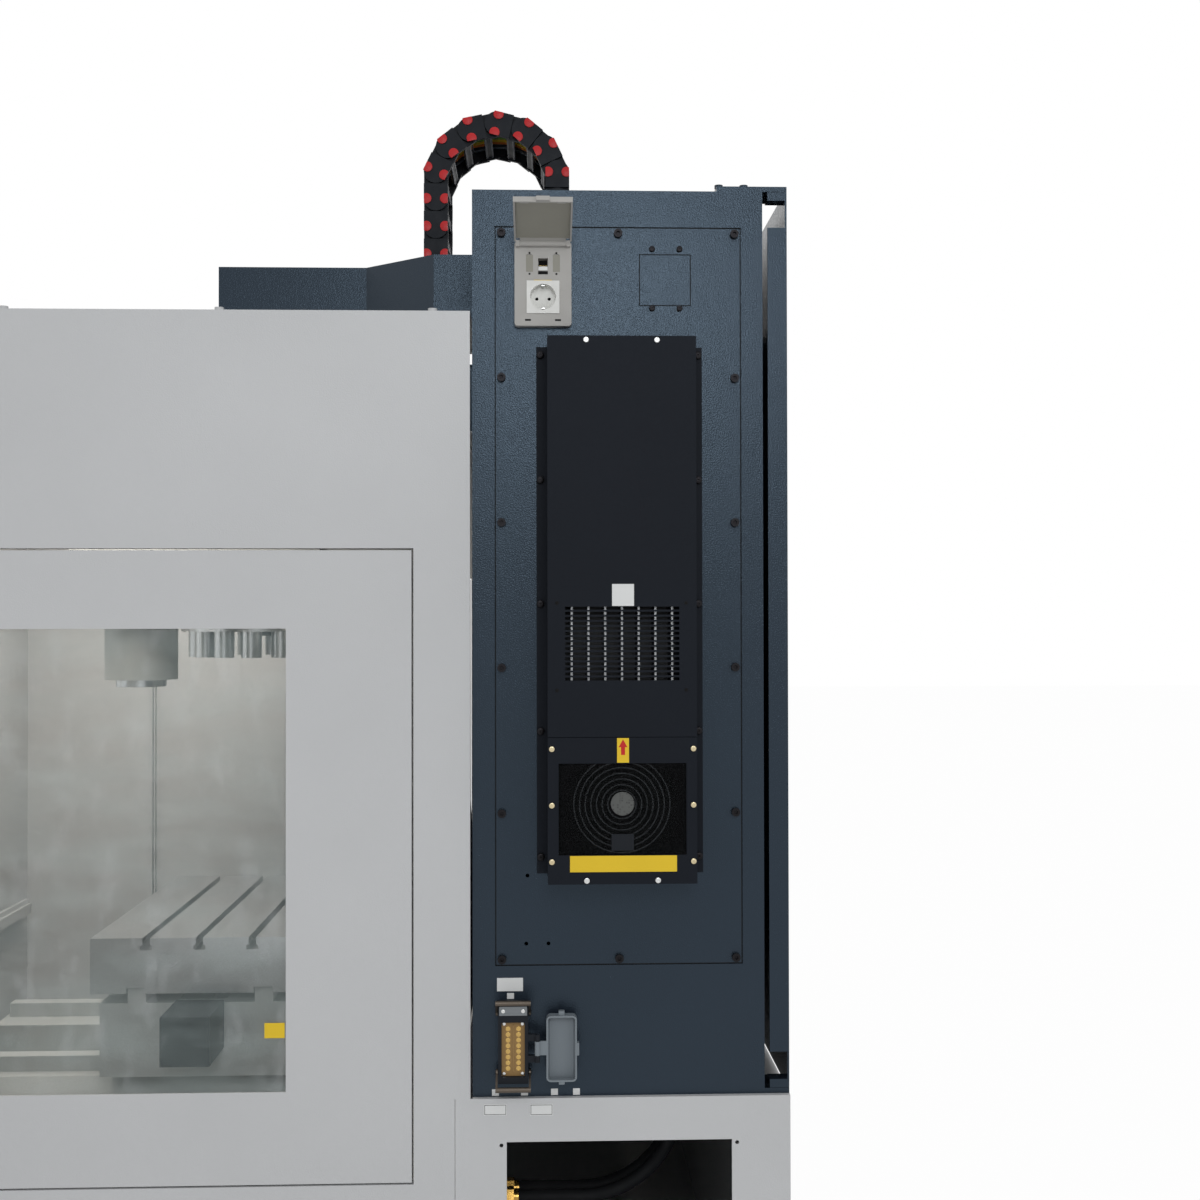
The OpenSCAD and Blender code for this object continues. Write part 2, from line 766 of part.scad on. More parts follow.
// Upper and lower pivot plates of the rear doors, each with its pin
pivot_x = cab_half - pivot_inset;
pivot_y = cab_d + cab_door_gap + cab_door_t / 2;
door_tab = 13;
plate_bolt_in = [66, 27];
plate_bolts = [cab_d - plate_bolt_in[0], cab_d - plate_bolt_in[1]];
plate_bolt_h = 5;
module pivot_plates() {
  color(slate) both_sides() {
    block([cab_half - plate_w, plate_from, cab_high], [cab_half, cab_rear, cab_high + pivot_t]);
    rod_z([pivot_x, pivot_y, cab_high - door_tab], pin_d, door_tab + pivot_t);
    for (y = plate_bolts) rod_z([pivot_x, y, cab_high + pivot_t], bolt_d, plate_bolt_h);
    block([cab_half - plate_w, plate_from, cab_low], [cab_half, cab_rear, cab_low + pivot_t]);
    rod_z([pivot_x, pivot_y, cab_low], pin_d, door_tab + pivot_t);
  }
}
// Folded rear door: face, side folds that stop short of the ends, and a bored tab at each pivot
module rear_door() {
  low = cab_low + pivot_t + run;
  high = cab_high - run;
  y0 = cab_d + cab_door_gap;
  difference() {
    union() {
      block([run, cab_rear - sheet_t, low], [cab_half, cab_rear, high]);
      for (x = [run, cab_half - sheet_t])
        block([x, y0, low + fold_end], [x + sheet_t, cab_rear, high - fold_end]);
      for (z = [low, high - door_tab])
        block([cab_half - 2 * pivot_inset, y0, z], [cab_half, cab_rear, z + door_tab]);
    }
    rod_z([pivot_x, pivot_y, low - past], pin_d + 2 * fit_clear, high - low + 2 * past);
  }
}
module cabinet_door_right() { color(slate) rear_door(); }
module cabinet_door_left() { color(slate) mirror([1, 0, 0]) rear_door(); }
// Mounting plate on posts with rows of switchgear and drives
gear_post = 16;
gear_side = 140;
gear_half = cab_half - gear_side;
gear_end = [100, 90];
gear_low = cab_low + gear_end[0];
gear_high = cab_high - gear_end[1];
gear_d = 130;
gear_post_d = 20;
gear_in = 40;
units = [6, 3];
unit_edge = [60, 80];
unit_gap = [65, 140];
unit_step = [
  (2 * gear_half - 2 * unit_edge[0] + unit_gap[0]) / units[0],
  (gear_high - gear_low - 2 * unit_edge[1] + unit_gap[1]) / units[1]];
unit = unit_step - unit_gap;
module control_gear() {
  color(steel) {
    block([-gear_half, sheet_t + gear_post, gear_low], [gear_half, 2 * sheet_t + gear_post, gear_high]);
    for (x = [-gear_half + gear_in, gear_half - gear_in], z = [gear_low + gear_in, gear_high - gear_in])
      rod_y([x, sheet_t, z], gear_post_d, gear_post);
    for (i = [0:units[0] - 1], j = [0:units[1] - 1]) {
      x0 = -gear_half + unit_edge[0] + i * unit_step[0];
      z0 = gear_low + unit_edge[1] + j * unit_step[1];
      block([x0, 2 * sheet_t + gear_post, z0],
        [x0 + unit[0], 2 * sheet_t + gear_post + gear_d, z0 + unit[1]]);
    }
  }
}

// Heat exchanger: flange, folded box with air slots, and the post that carries the fan
fan_post_d = 40;
fan_post_l = 24;
fan_pin_d = 8;
hub_d = 36;
hub_l = 30;
air_w = 150;
air_rise = [100, 20];
air_h = [190, 30];
module air_ports() {
  z0 = ex_z + air_rise[0];
  z1 = filter_top + air_rise[1];
  rect([ex_y - air_w / 2, z0], [ex_y + air_w / 2, z0 + air_h[0]]);
  rect([ex_y - air_w / 2, z1], [ex_y + air_w / 2, z1 + air_h[1]]);
}
module exchanger_housing() {
  w = ex_w / 2;
  slots_low = filter_top + slot_rise;
  color(dark) {
    difference() {
      union() {
        sheet_x(ex_x, skin)
          translate([ex_y, ex_z]) square([ex_flange_w, ex_flange_h], center = true);
        difference() {
          block([ex_x, ex_y - w, ex_low], [ex_front, ex_y + w, ex_low + ex_h]);
          block([ex_x + skin, ex_y - w + skin, ex_low + skin],
            [ex_front - skin, ex_y + w - skin, ex_low + ex_h - skin]);
        }
      }
      sheet_x(ex_x - past, skin + 2 * past) air_ports();
      block([ex_front - skin, ex_y - w - past, ex_low - past],
        [ex_front + past, ex_y + w + past, filter_top]);
      for (i = [0:slot_rows - 1])
        block([ex_front - skin - past, ex_y - slot_w / 2, slots_low + i * slot_pitch],
          [ex_front + past, ex_y + slot_w / 2, slots_low + i * slot_pitch + slot_h]);
    }
    rod_x([ex_x + skin, ex_y, fan_z], fan_post_d, fan_post_l);
    rod_x([ex_x + skin, ex_y, fan_z], fan_pin_d, fan_post_l + hub_l);
  }
}
// Finned core behind the air slots
fins = 7;
fin_gap = 25;
fin_t = 3;
core_lap = 10;
core_base = 4;
core_gap = 8;
module exchanger_core() {
  low = filter_top + slot_rise - core_lap;
  high = low + slot_rows * slot_pitch + 2 * core_lap;
  base = ex_x + skin;
  color(steel) {
    block([base, ex_y - slot_w / 2, low], [base + core_base, ex_y + slot_w / 2, high]);
    for (i = [0:fins - 1])
      translate([0, ex_y + (i - (fins - 1) / 2) * fin_gap, 0])
        block([base, -fin_t / 2, low], [ex_front - skin - core_gap, fin_t / 2, high]);
  }
}
// Lower front cover with the filter opening, finger guard rings and pull tab
guard_rings = 4;
guard_wire = 3;
ring_step = 14;
guard_reach = 8;
hub_in = 4;
tab_w = 33;
tab_h = 24;
tab_rise = 6;
module filter_frame() {
  w = ex_w / 2;
  open_low = ex_low + filter_sill;
  back = ex_front - skin;
  color(dark) {
    sheet_x(back, skin) difference() {
      rect([ex_y - w, ex_low], [ex_y + w, filter_top - seam]);
      rect([ex_y - filter_w / 2, open_low], [ex_y + filter_w / 2, open_low + filter_open_h]);
    }
    for (i = [1:guard_rings])
      translate([back - guard_wire / 2, ex_y, fan_z]) rotate([0, 90, 0]) rotate_extrude()
        translate([hub_d / 2 - hub_in + (i - 1) * ring_step, 0]) circle(d = guard_wire, $fn = 16);
    block([back - guard_wire, ex_y - filter_w / 2 - guard_reach, fan_z - guard_wire / 2],
      [back, ex_y + filter_w / 2 + guard_reach, fan_z + guard_wire / 2]);
    block([back - guard_wire, ex_y - guard_wire / 2, open_low - guard_reach],
      [back, ex_y + guard_wire / 2, open_low + filter_open_h + guard_reach]);
    rod_x([back - guard_wire, ex_y, fan_z], hub_d - 2 * hub_in, guard_wire);
    block([back - guard_wire, ex_y - tab_w / 2, open_low + tab_rise],
      [back, ex_y + tab_w / 2, open_low + tab_rise + tab_h]);
  }
}
// Axial fan on the post's pin
blade_tilt = 32;
blade_t = 3;
blade_half = 11;
module fan_rotor() {
  x0 = ex_x + skin + fan_post_l + run;
  color(dark) difference() {
    union() {
      rod_x([x0, ex_y, fan_z], hub_d, hub_l - hub_in);
      translate([x0 + (hub_l - hub_in) / 2, ex_y, fan_z]) for (i = [0:fan_blades - 1])
        rotate([i * 360 / fan_blades, 0, 0]) rotate([0, 0, blade_tilt])
          block([-blade_t / 2, -blade_half, hub_d / 2 - hub_in], [blade_t / 2, blade_half, fan_r]);
    }
    rod_x([x0 - past, ex_y, fan_z], fan_pin_d + 2 * fit_clear, hub_l + 2 * past);
  }
}

// Rectangle with round corners, drawn about its middle
module round_rect(w, h, r) {
  square([w - 2 * r, h], center = true);
  square([w, h - 2 * r], center = true);
  for (s = [-1, 1], t = [-1, 1]) translate([s * (w / 2 - r), t * (h / 2 - r)]) circle(r = r);
}
// Service interface: moulded frame with data port, socket pocket and the lid's ears
ear_w = 6;
ear_in = 2;
lid_pin = 4;
lid_barrel = 9;
if_back = 26;
pocket_back = 12;
data_port = [15, 13];
blank = [9, 26];
blank_gap = 21;
if_corner = 5;
blank_line = 1;
blank_depth = 1.5;
port_drop = 32;
tail_in = 14;
tail_top = 24;
ear_low = 5;
ear_high = 4;
module interface_frame() {
  mid = [if_y, if_low + if_h / 2];
  port_z = if_low + if_h - port_drop;
  color(beige) {
    difference() {
      union() {
        sheet_x(cab_half, if_d) translate(mid) round_rect(if_w, if_h, if_corner);
        block([cab_half - if_back, if_y - if_w / 2 + tail_in, if_low + tail_in],
          [cab_half, if_y + if_w / 2 - tail_in, if_low + if_h - tail_top]);
      }
      sheet_x(cab_half - pocket_back, if_d + if_back) translate([if_y, socket_z])
        square(socket_w + 2 * fit_clear, center = true);
      sheet_x(cab_half, if_d + past) translate([if_y, port_z]) square(data_port, center = true);
      for (s = [-1, 1])
        sheet_x(if_front - blank_depth, if_d) translate([if_y + s * blank_gap, port_z]) difference() {
        round_rect(blank[0], blank[1], blank[0] / 3);
        round_rect(blank[0] - 2 * blank_line, blank[1] - 2 * blank_line, blank[0] / 3 - blank_line);
      }
    }
    for (s = [-1, 1]) {
      y0 = if_y + s * (if_w / 2 - ear_in) - (s > 0 ? ear_w : 0);
      block([if_front - past, y0, lid_axis_z - ear_low],
        [lid_axis_x + ear_high, y0 + ear_w, lid_axis_z + ear_high]);
    }
    rod_y([lid_axis_x, if_y - if_w / 2 + ear_in, lid_axis_z], lid_pin, if_w - 2 * ear_in);
  }
}
// White socket insert with a round recess and two contact holes
contact_gap = 19;
contact_d = 5;
contact_depth = 8;
socket_out = 2;
module socket_insert() {
  face = if_front + socket_out;
  color([0.9, 0.9, 0.9]) difference() {
    block([cab_half - pocket_back, if_y - socket_w / 2, socket_z - socket_w / 2],
      [face, if_y + socket_w / 2, socket_z + socket_w / 2]);
    rod_x([face - socket_depth, if_y, socket_z], 2 * socket_r, socket_depth + past);
    for (s = [-1, 1])
      rod_x([face - socket_depth - contact_depth, if_y + s * contact_gap / 2, socket_z],
        contact_d, contact_depth + past);
  }
}
// Flip lid: plate, three rims and the barrel, drawn closed and turned to its open place
lid_t = 3;
rim_t = 2.5;
rim_d = 5.5;
neck = 12;
plate_x = 1.5;
module interface_lid() {
  w = if_w / 2;
  barrel_l = if_w - 2 * (ear_in + ear_w + run);
  color(beige) translate([lid_axis_x, if_y, lid_axis_z]) rotate([0, -lid_open, 0]) difference() {
    union() {
      block([plate_x, -w, -lid_l], [plate_x + lid_t, w, -neck]);
      block([plate_x, -barrel_l / 2, -neck - past], [plate_x + lid_t, barrel_l / 2, 0]);
      for (y = [-w, w - rim_t]) block([plate_x - rim_d, y, -lid_l], [plate_x + past, y + rim_t, -neck]);
      block([plate_x - rim_d, -w, -lid_l], [plate_x + past, w, -lid_l + rim_t]);
      rod_y([0, -barrel_l / 2, 0], lid_barrel, barrel_l);
    }
    rod_y([0, -w, 0], lid_pin + 2 * fit_clear, 2 * w);
  }
}

// Heavy connector: housing with the cavity for its insert, side pins for the levers and the cap's ears
insert_w = 35;
insert_h = 82;
insert_sink = 8;
insert_rise = 51;
con_mid = [con_y + con_w / 2, con_z + insert_rise];
contact_step = 8.5;
contact_half = 8;
contact_hole = 12;
lever_pin = 6;
lever_in = 18;
lever_x = cab_half + lever_in;
lever_t = 3;
lever_l = 32;
lever_gap = 1;
lever_bar = 8;
lever_rows = [12, 14];
upper_z = con_z + con_h - lever_rows[1];
lower_z = con_z + lever_rows[0];
cap_gap = 14;
cap_axis = [con_front, con_y + con_w + cap_gap];
cap_pin = 4;
cap_barrel = 8;
cap_clear = 0.4;
cap_ear_h = 10;
cap_ear_in = 32;
cap_ear_z = [con_z + cap_ear_in, con_z + 2 * cap_ear_in];
module connector_housing() {
  reach = 2 * lever_gap + lever_t;
  color(dark) {
    difference() {
      block([cab_half, con_y, con_z], [con_front, con_y + con_w, con_z + con_h]);
      sheet_x(cab_half - past, con_d + 2 * past) translate(con_mid)
        square([insert_w, insert_h], center = true);
    }
    for (z = [upper_z, lower_z], y = [con_y - reach, con_y + con_w - past])
      rod_y([lever_x, y, z], lever_pin, reach + past);
    for (z = cap_ear_z) {
      block([con_front - cap_barrel, con_y + con_w, z], [con_front, cap_axis[1], z + cap_ear_h]);
      rod_z([cap_axis[0], cap_axis[1], z], cap_barrel, cap_ear_h);
    }
    rod_z([cap_axis[0], cap_axis[1], cap_ear_z[0]], cap_pin, cap_ear_z[1] - cap_ear_z[0] + cap_ear_h);
  }
}
module connector_insert() {
  depth = con_d - insert_sink;
  color(gold) difference() {
    sheet_x(cab_half, depth) translate(con_mid) square([insert_w, insert_h], center = true);
    for (i = [0:contact_rows - 1], s = [-1, 1])
      translate([cab_half + depth - contact_hole, con_mid[0] + s * contact_half, con_mid[1]])
        rod_x([0, 0, (i - (contact_rows - 1) / 2) * contact_step], contact_d, contact_hole + past);
  }
}
// Locking lever: two bored arms and a round grip bar, pointing out at the given angle
module lever(z, tilt) {
  arm_y = [con_y - lever_gap - lever_t, con_y + con_w + lever_gap];
  color(steel) translate([lever_x, 0, z]) rotate([0, -tilt, 0]) {
    for (y = arm_y) difference() {
      union() {
        rod_y([0, y, 0], 2 * lever_pin, lever_t);
        block([0, y, -lever_bar / 2], [lever_l, y + lever_t, lever_bar / 2]);
      }
      rod_y([0, y - past, 0], lever_pin + 2 * fit_clear, lever_t + 2 * past);
    }
    rod_y([lever_l, arm_y[0], 0], lever_bar, arm_y[1] - arm_y[0] + lever_t);
  }
}
lever_tilt = 36;
module upper_lever() { lever(upper_z, lever_tilt); }
module lower_lever() { lever(lower_z, -lever_tilt); }
// Hinged cap lying open beside the housing, hollow side out
cap_d = 18;
cap_wall = 2.5;
cap_h = 99;
cap_w = con_w + 1;
cap_rise = 2;
cap_corner = 7;
module connector_cap() {
  y0 = cap_axis[1] + cap_gap - run;
  low = con_z + cap_rise;
  face = cap_axis[0] - cap_clear;
  mid_low = cap_ear_z[0] + cap_ear_h + run;
  mid_high = cap_ear_z[1] - run;
  color([0.5, 0.54, 0.56]) difference() {
    union() {
      difference() {
        sheet_x(face - cap_d, cap_d) translate([y0 + cap_w / 2, low + cap_h / 2])
          round_rect(cap_w, cap_h, cap_corner);
        sheet_x(face - cap_d + cap_wall, cap_d) translate([y0 + cap_w / 2, low + cap_h / 2])
          round_rect(cap_w - 2 * cap_wall, cap_h - 2 * cap_wall, cap_corner - cap_wall);
      }
      rod_z([cap_axis[0], cap_axis[1], mid_low], cap_barrel, mid_high - mid_low);
      block([face - cap_barrel / 2, cap_axis[1], mid_low], [face, y0 + past, mid_high]);
    }
    rod_z([cap_axis[0], cap_axis[1], mid_low - past], cap_pin + 2 * fit_clear, mid_high - mid_low + 2 * past);
  }
}

// Two hoses from the cabinet floor to a brass union on the bulkhead
hose_side = [230, 190];
hose_x = [half - hose_side[0], half - hose_side[1]];
hose_y = 330;
union_l = 90;
union_d = 24;
union_nut = [34, 22];
union_nut_in = 30;
hose_drop = 60;
module coolant_hoses() {
  end_y = skirt_y + sheet_t + union_l;
  color(dark) for (x = hose_x) {
    rod_z([x, hose_y, cab_low - hose_drop], hose_d, hose_drop);
    translate([x, hose_y - hose_bend, cab_low - hose_drop]) rotate([0, 90, 0])
      rotate_extrude(angle = 90) translate([hose_bend, 0]) circle(d = hose_d, $fn = 24);
    rod_y([x, end_y, cab_low - hose_drop - hose_bend], hose_d, hose_y - hose_bend - end_y);
  }
}
module hose_fitting() {
  y0 = skirt_y + sheet_t;
  color(gold) for (x = hose_x) {
    rod_y([x, y0, cab_low - hose_drop - hose_bend], union_d, union_l);
    for (y = [y0, y0 + union_l - union_nut_in])
      translate([x, y, cab_low - hose_drop - hose_bend]) rotate([-90, 0, 0])
        cylinder(d = union_nut[0], h = union_nut[1], $fn = 6);
  }
}

// Cast bed on a base plate, with the Y ways, the screw channel and the column's seat
bed_half = 430;
bed_wall = 290;
bed_seat = 40;
block_rise = 35;
rail_in = 10;
channel_half = 120;
channel_d = 95;
channel_low = way_top - channel_d;
seat_lip = 10;
seat_front = column_front + seat_lip;
way_half = 50;
module bed() {
  z0 = bed_low + bed_plate_t;
  edge = half - sheet_t;
  color(iron) {
    block([-edge, front_in, bed_low], [edge, skirt_y, z0]);
    difference() {
      union() {
        sheet_y(-bed_front, bed_front - skirt_lap) polygon([
          [-bed_half, z0 - past], [bed_half, z0 - past], [bed_half, z0 + bed_wall],
          [way_x + way_half, way_top],
          [channel_half, way_top], [channel_half, channel_low], [-channel_half, channel_low],
          [-channel_half, way_top], [-way_x - way_half, way_top], [-bed_half, z0 + bed_wall]]);
        block([-column_half - bed_seat, -seat_front, z0], [column_half + bed_seat, skirt_y, way_top]);
        for (y = [-bed_front, -seat_front - block_t])
          block([-block_half, y, channel_low - past],
            [block_half, y + block_t + past, y_screw_z + block_rise]);
      }
      rod_y([0, -bed_front - past, y_screw_z], screw_d + 2 * fit_clear, bed_front - seat_front + 2 * past);
    }
    for (s = [-1, 1])
      block([s * way_x - rail_w / 2, -bed_front + rail_in, way_top],
        [s * way_x + rail_w / 2, -seat_front - rail_in / 2, way_top + rail_h]);
  }
}
// Adjustable feet: pad, stem and lock nut
foot_d = 120;
foot_end = [120, 140];
foot_first = -panel_front + foot_end[0];
foot_rows = [foot_first, (foot_first - foot_end[1]) / 2, -foot_end[1]];
foot_side = 170;
foot_x = half - foot_side;
pad_t = 18;
stem_d = 30;
lock_nut = [50, 18];
lock_rise = 12;
module levelling_feet() {
  color(steel) both_sides() for (y = foot_rows) {
    rod_z([foot_x, y, 0], foot_d, pad_t);
    rod_z([foot_x, y, pad_t], stem_d, bed_low - pad_t);
    translate([foot_x, y, pad_t + lock_rise]) cylinder(d = lock_nut[0], h = lock_nut[1], $fn = 6);
  }
}
// Column with the Z ways and the groove for the vertical screw
groove_half = 50;
groove_d = 70;
z_way_drop = 237;
z_way_low = nose_z - z_way_drop;
z_floor_drop = 137;
z_floor = nose_z - z_floor_drop;
z_way_in = 20;
screw_end = 2;
screw_foot = 20;
lean = 80;
module column() {
  color(iron) {
    difference() {
      sheet_x(-column_half, 2 * column_half) polygon([
        [-column_front, way_top], [-column_rear, way_top],
        [-column_rear - lean, column_top], [-column_front, column_top]]);
      block([-groove_half, -column_front - past, z_floor],
        [groove_half, -column_front + groove_d, column_top - block_t]);
      translate([0, z_screw_y, z_floor - screw_foot - screw_end])
        rod_z([0, 0, 0], screw_d + 2 * fit_clear, column_top - z_floor + screw_foot + screw_end + past);
    }
    for (s = [-1, 1])
      block([s * z_way_x - rail_w / 2, -column_front - rail_h, z_way_low],
        [s * z_way_x + rail_w / 2, -column_front, column_top - z_way_in]);
  }
}
// Motors of the Y and Z screws
module servo_motors() {
  w = motor_w / 2;
  color(dark) {
    block([-w, -bed_front - motor_l, y_screw_z - w], [w, -bed_front, y_screw_z + w]);
    block([-w, z_screw_y - w, column_top], [w, z_screw_y + w, column_top + motor_l]);
  }
}
// Saddle with X ways on top, carriages below, screw channel and the Y nut
nut_half = 40;
nut_w = 35;
nut_lip = 10;
x_channel = 45;
end_wall = 30;
module saddle() {
  slot = rail_w / 2 + rail_clear;
  color(iron) difference() {
    union() {
      block([-saddle_half, -table_y - saddle_l / 2, saddle_low],
        [saddle_half, -table_y + saddle_l / 2, saddle_top]);
      for (s = [-1, 1])
        block([-saddle_half, -table_y + s * way_y - rail_w / 2, saddle_top - past],
          [saddle_half, -table_y + s * way_y + rail_w / 2, saddle_top + rail_h]);
      block([-nut_half - nut_lip, -table_y - nut_half, y_screw_z - nut_w],
        [nut_half + nut_lip, -table_y + nut_half, saddle_low + past]);
    }
    for (s = [-1, 1])
      block([s * way_x - slot, -table_y - saddle_l, saddle_low - past],
        [s * way_x + slot, -table_y + saddle_l, way_top + rail_h + rail_clear]);
    block([-saddle_half + end_wall, -table_y - x_channel, x_screw_z - x_channel],
      [saddle_half - end_wall, -table_y + x_channel, saddle_top + past]);
    rod_x([-saddle_half - past, -table_y, x_screw_z], screw_d + 2 * fit_clear, 2 * saddle_half + 2 * past);
    rod_y([0, -table_y - saddle_l, y_screw_z], screw_d + 2 * fit_clear, 2 * saddle_l);
  }
}
module x_motor() {
  w = motor_w / 2;
  color(dark) block([saddle_half, -table_y - w, x_screw_z - w],
    [saddle_half + motor_l, -table_y + w, x_screw_z + w]);
}
// Table with three T-slots along X, carriages below and the X nut
tslot_d = 14;
tslot_foot = [23, 9];
module table() {
  slot = rail_w / 2 + rail_clear;
  w = table_w / 2;
  color(steel) difference() {
    union() {
      block([-w, -table_y - table_d / 2, table_low], [w, -table_y + table_d / 2, table_top]);
      block([-nut_half, -table_y - nut_w, x_screw_z - nut_w + nut_lip],
        [nut_half, -table_y + nut_w, table_low + past]);
    }
    for (i = [-1:1]) translate([0, -table_y + i * slot_gap, table_top]) {
      block([-w - past, -tslot_w / 2, -tslot_d], [w + past, tslot_w / 2, past]);
      block([-w - past, -tslot_foot[0] / 2, -tslot_d - tslot_foot[1]],
        [w + past, tslot_foot[0] / 2, -tslot_d]);
    }
    for (s = [-1, 1])
      block([-w - past, -table_y + s * way_y - slot, table_low - past],
        [w + past, -table_y + s * way_y + slot, saddle_top + rail_h + rail_clear]);
    rod_x([-w, -table_y, x_screw_z], screw_d + 2 * fit_clear, 2 * w);
  }
}
// Ball screws between their bearing walls
module x_screw() {
  x0 = saddle_half - screw_end;
  color(steel) rod_x([-x0, -table_y, x_screw_z], screw_d, 2 * x0);
}
module y_screw() {
  y0 = -bed_front + screw_end;
  color(steel) rod_y([0, y0, y_screw_z], screw_d, -seat_front - screw_end - y0);
}
module z_screw() {
  z0 = z_floor - screw_foot;
  color(steel) rod_z([0, z_screw_y, z0], screw_d, column_top - screw_end - z0);
}
// Head casting: carriage plate, arm, spindle sleeve and the Z nut
sleeve_d = 150;
nose_gap = 1;
nose_t = 14;
nose_d = 104;
quill_l = 60;
quill_gap = 2;
arm_nose = 110;
arm_front = spindle_y + arm_nose;
web_foot = 20;
web_drop = 40;
web_reach = [170, 230];
module head() {
  slot = rail_w / 2 + rail_clear;
  plate_front = carriage_front - head_plate_t;
  plate_top = head_plate_low + head_plate_h;
  nut_z = head_plate_low + head_plate_h / 2;
  sleeve_low = nose_z + nose_t + nose_gap;
  color(iron) difference() {
    union() {
      block([-head_plate_half, plate_front, head_plate_low], [head_plate_half, carriage_front, plate_top]);
      sheet_x(-arm_half, 2 * arm_half) polygon([
        [plate_front + past, head_plate_low + web_foot], [plate_front + past, plate_top - web_drop],
        [plate_front - web_reach[0], arm_low + arm_h], [-arm_front, arm_low + arm_h],
        [-arm_front, arm_low], [plate_front - web_reach[1], arm_low]]);
      rod_z([0, -spindle_y, sleeve_low], sleeve_d, arm_low - sleeve_low + past);
      block([-nut_w, carriage_front - past, nut_z - nut_half], [nut_w, z_screw_y + nut_w, nut_z + nut_half]);
    }
    for (s = [-1, 1])
      block([s * z_way_x - slot, -column_front - rail_h - rail_clear, head_plate_low - past],
        [s * z_way_x + slot, carriage_front + past, plate_top + past]);
    rod_z([0, -spindle_y, nose_z], spindle_d + 2 * fit_clear, arm_low + quill_l - nose_z);
    rod_z([0, z_screw_y, nut_z - nut_half - past], screw_d + 2 * fit_clear, 2 * nut_half + 2 * past);
  }
}
// Spindle with a steep-taper socket and a drawbar bore
taper_d = 31.75;
taper_l = 48;
taper_end = 17.75;
drawbar_d = 13;
drawbar_l = 60;
module spindle() {
  color(steel) difference() {
    union() {
      rod_z([0, -spindle_y, nose_z], nose_d, nose_t);
      rod_z([0, -spindle_y, nose_z], spindle_d, arm_low + quill_l - quill_gap - nose_z);
    }
    translate([0, -spindle_y, nose_z]) cylinder(d1 = taper_d, d2 = taper_end, h = taper_l);
    rod_z([0, -spindle_y, nose_z + taper_l - past], drawbar_d, drawbar_l);
  }
}
spin_motor_w = 170;
spin_motor_h = 205;
spin_motor_r = 20;
module spindle_motor() {
  color(dark) translate([0, -spindle_y, arm_low + arm_h]) linear_extrude(spin_motor_h)
    round_rect(spin_motor_w, spin_motor_w, spin_motor_r);
}
// Bracket on the head that follows the chain's hanging leg down the column's side
arm_t = 12;
arm_gap = 6;
hold_h = 90;
hold_drop = 100;
hold_in = 10;
module chain_arm() {
  x0 = column_half + arm_gap;
  y0 = carriage_front - head_plate_t;
  low = head_plate_low + head_plate_h - hold_drop;
  leg_y = joint_at(arch_start + arch_bends - 1)[0];
  color(slate) {
    block([x0, y0 - arm_t, low], [x0 + arm_t, leg_y + link_h / 2, low + hold_h]);
    block([arm_half + hold_in, y0 - arm_t, low], [x0 + arm_t, y0, low + hold_h]);
  }
}
// Tool magazine: bracket on the column with a headed pin, and the disc with its row of holders
disc_x = -400;
disc_y = -560;
disc_rise = 113;
disc_z = nose_z + disc_rise;
disc_t = 50;
disc_pin = 30;
holder_d = 46;
holder_h = 60;
holder_r = 150;
beam_rise = 140;
beam_z = disc_z + beam_rise;
beam_t = 40;
beam_seat = 100;
boss_d = 60;
boss_gap = 5;
pin_head_d = 50;
pin_head_h = 11;
pin_bite = 4;
module magazine_bracket() {
  beam_y = -column_front + beam_seat;
  color(slate) {
    block([disc_x - beam_t, -column_front, beam_z], [-column_half, beam_y, beam_z + beam_t]);
    block([disc_x - beam_t, disc_y - beam_t, beam_z], [disc_x + beam_t, beam_y, beam_z + beam_t]);
    rod_z([disc_x, disc_y, disc_z + disc_t + boss_gap], boss_d, beam_rise - disc_t - boss_gap + past);
    rod_z([disc_x, disc_y, disc_z - pin_head_h], disc_pin, pin_head_h + disc_t + boss_gap + pin_bite);
    rod_z([disc_x, disc_y, disc_z - pin_head_h], pin_head_d, pin_head_h - run);
  }
}
module tool_disc() {
  color(steel) difference() {
    union() {
      rod_z([disc_x, disc_y, disc_z], 2 * disc_r, disc_t);
      for (i = [0:disc_tools - 1]) translate([disc_x, disc_y, 0]) rotate([0, 0, i * 360 / disc_tools])
        rod_z([holder_r, 0, disc_z - holder_h], holder_d, holder_h + past);
    }
    rod_z([disc_x, disc_y, disc_z - past], disc_pin + 2 * fit_clear, disc_t + 2 * past);
  }
}

// Heading of chain link i and the place of its first pivot in Y and Z
function heading(i) = 90 + bend * max(0, min(i, arch_start + arch_bends - 1) - arch_start + 1);
function joint_at(i) = i == 1 ? [chain_y, chain_z]
  : joint_at(i - 1) + pitch * [cos(heading(i - 1)), sin(heading(i - 1))];
link_gap = 1;
bar_t = 5;
bar_w = 14;
dot_v = 14;
// One link along +Y: inner plates at its first pivot, outer plates at its second, two cross bars
module link() {
  r = link_h / 2;
  outer = chain_w / 2;
  step = outer - plate_layer;
  inner = step - layer_gap - plate_layer;
  split = pitch - r - link_gap;
  both_sides() difference() {
    union() {
      rod_x([inner, 0, 0], link_h, plate_layer);
      block([inner, 0, -r], [inner + plate_layer, split, r]);
      rod_x([step, pitch, 0], link_h, plate_layer);
      block([step, r + link_gap, -r], [outer, pitch, r]);
      block([inner, r + link_gap, -r], [outer, split, r]);
      rod_x([inner, 0, 0], pivot_d, outer - inner);
      for (s = [-1, 1]) rod_x([step, pitch, s * dot_v], dot_d, plate_layer + dot_h);
    }
    rod_x([step - past, pitch, 0], pivot_d + 2 * fit_clear, plate_layer + 2 * past);
  }
  for (s = [-1, 1])
    block([-inner - past, split - bar_w, s * (r - bar_t) - bar_t / 2],
      [inner + past, split, s * (r - bar_t) + bar_t / 2]);
}
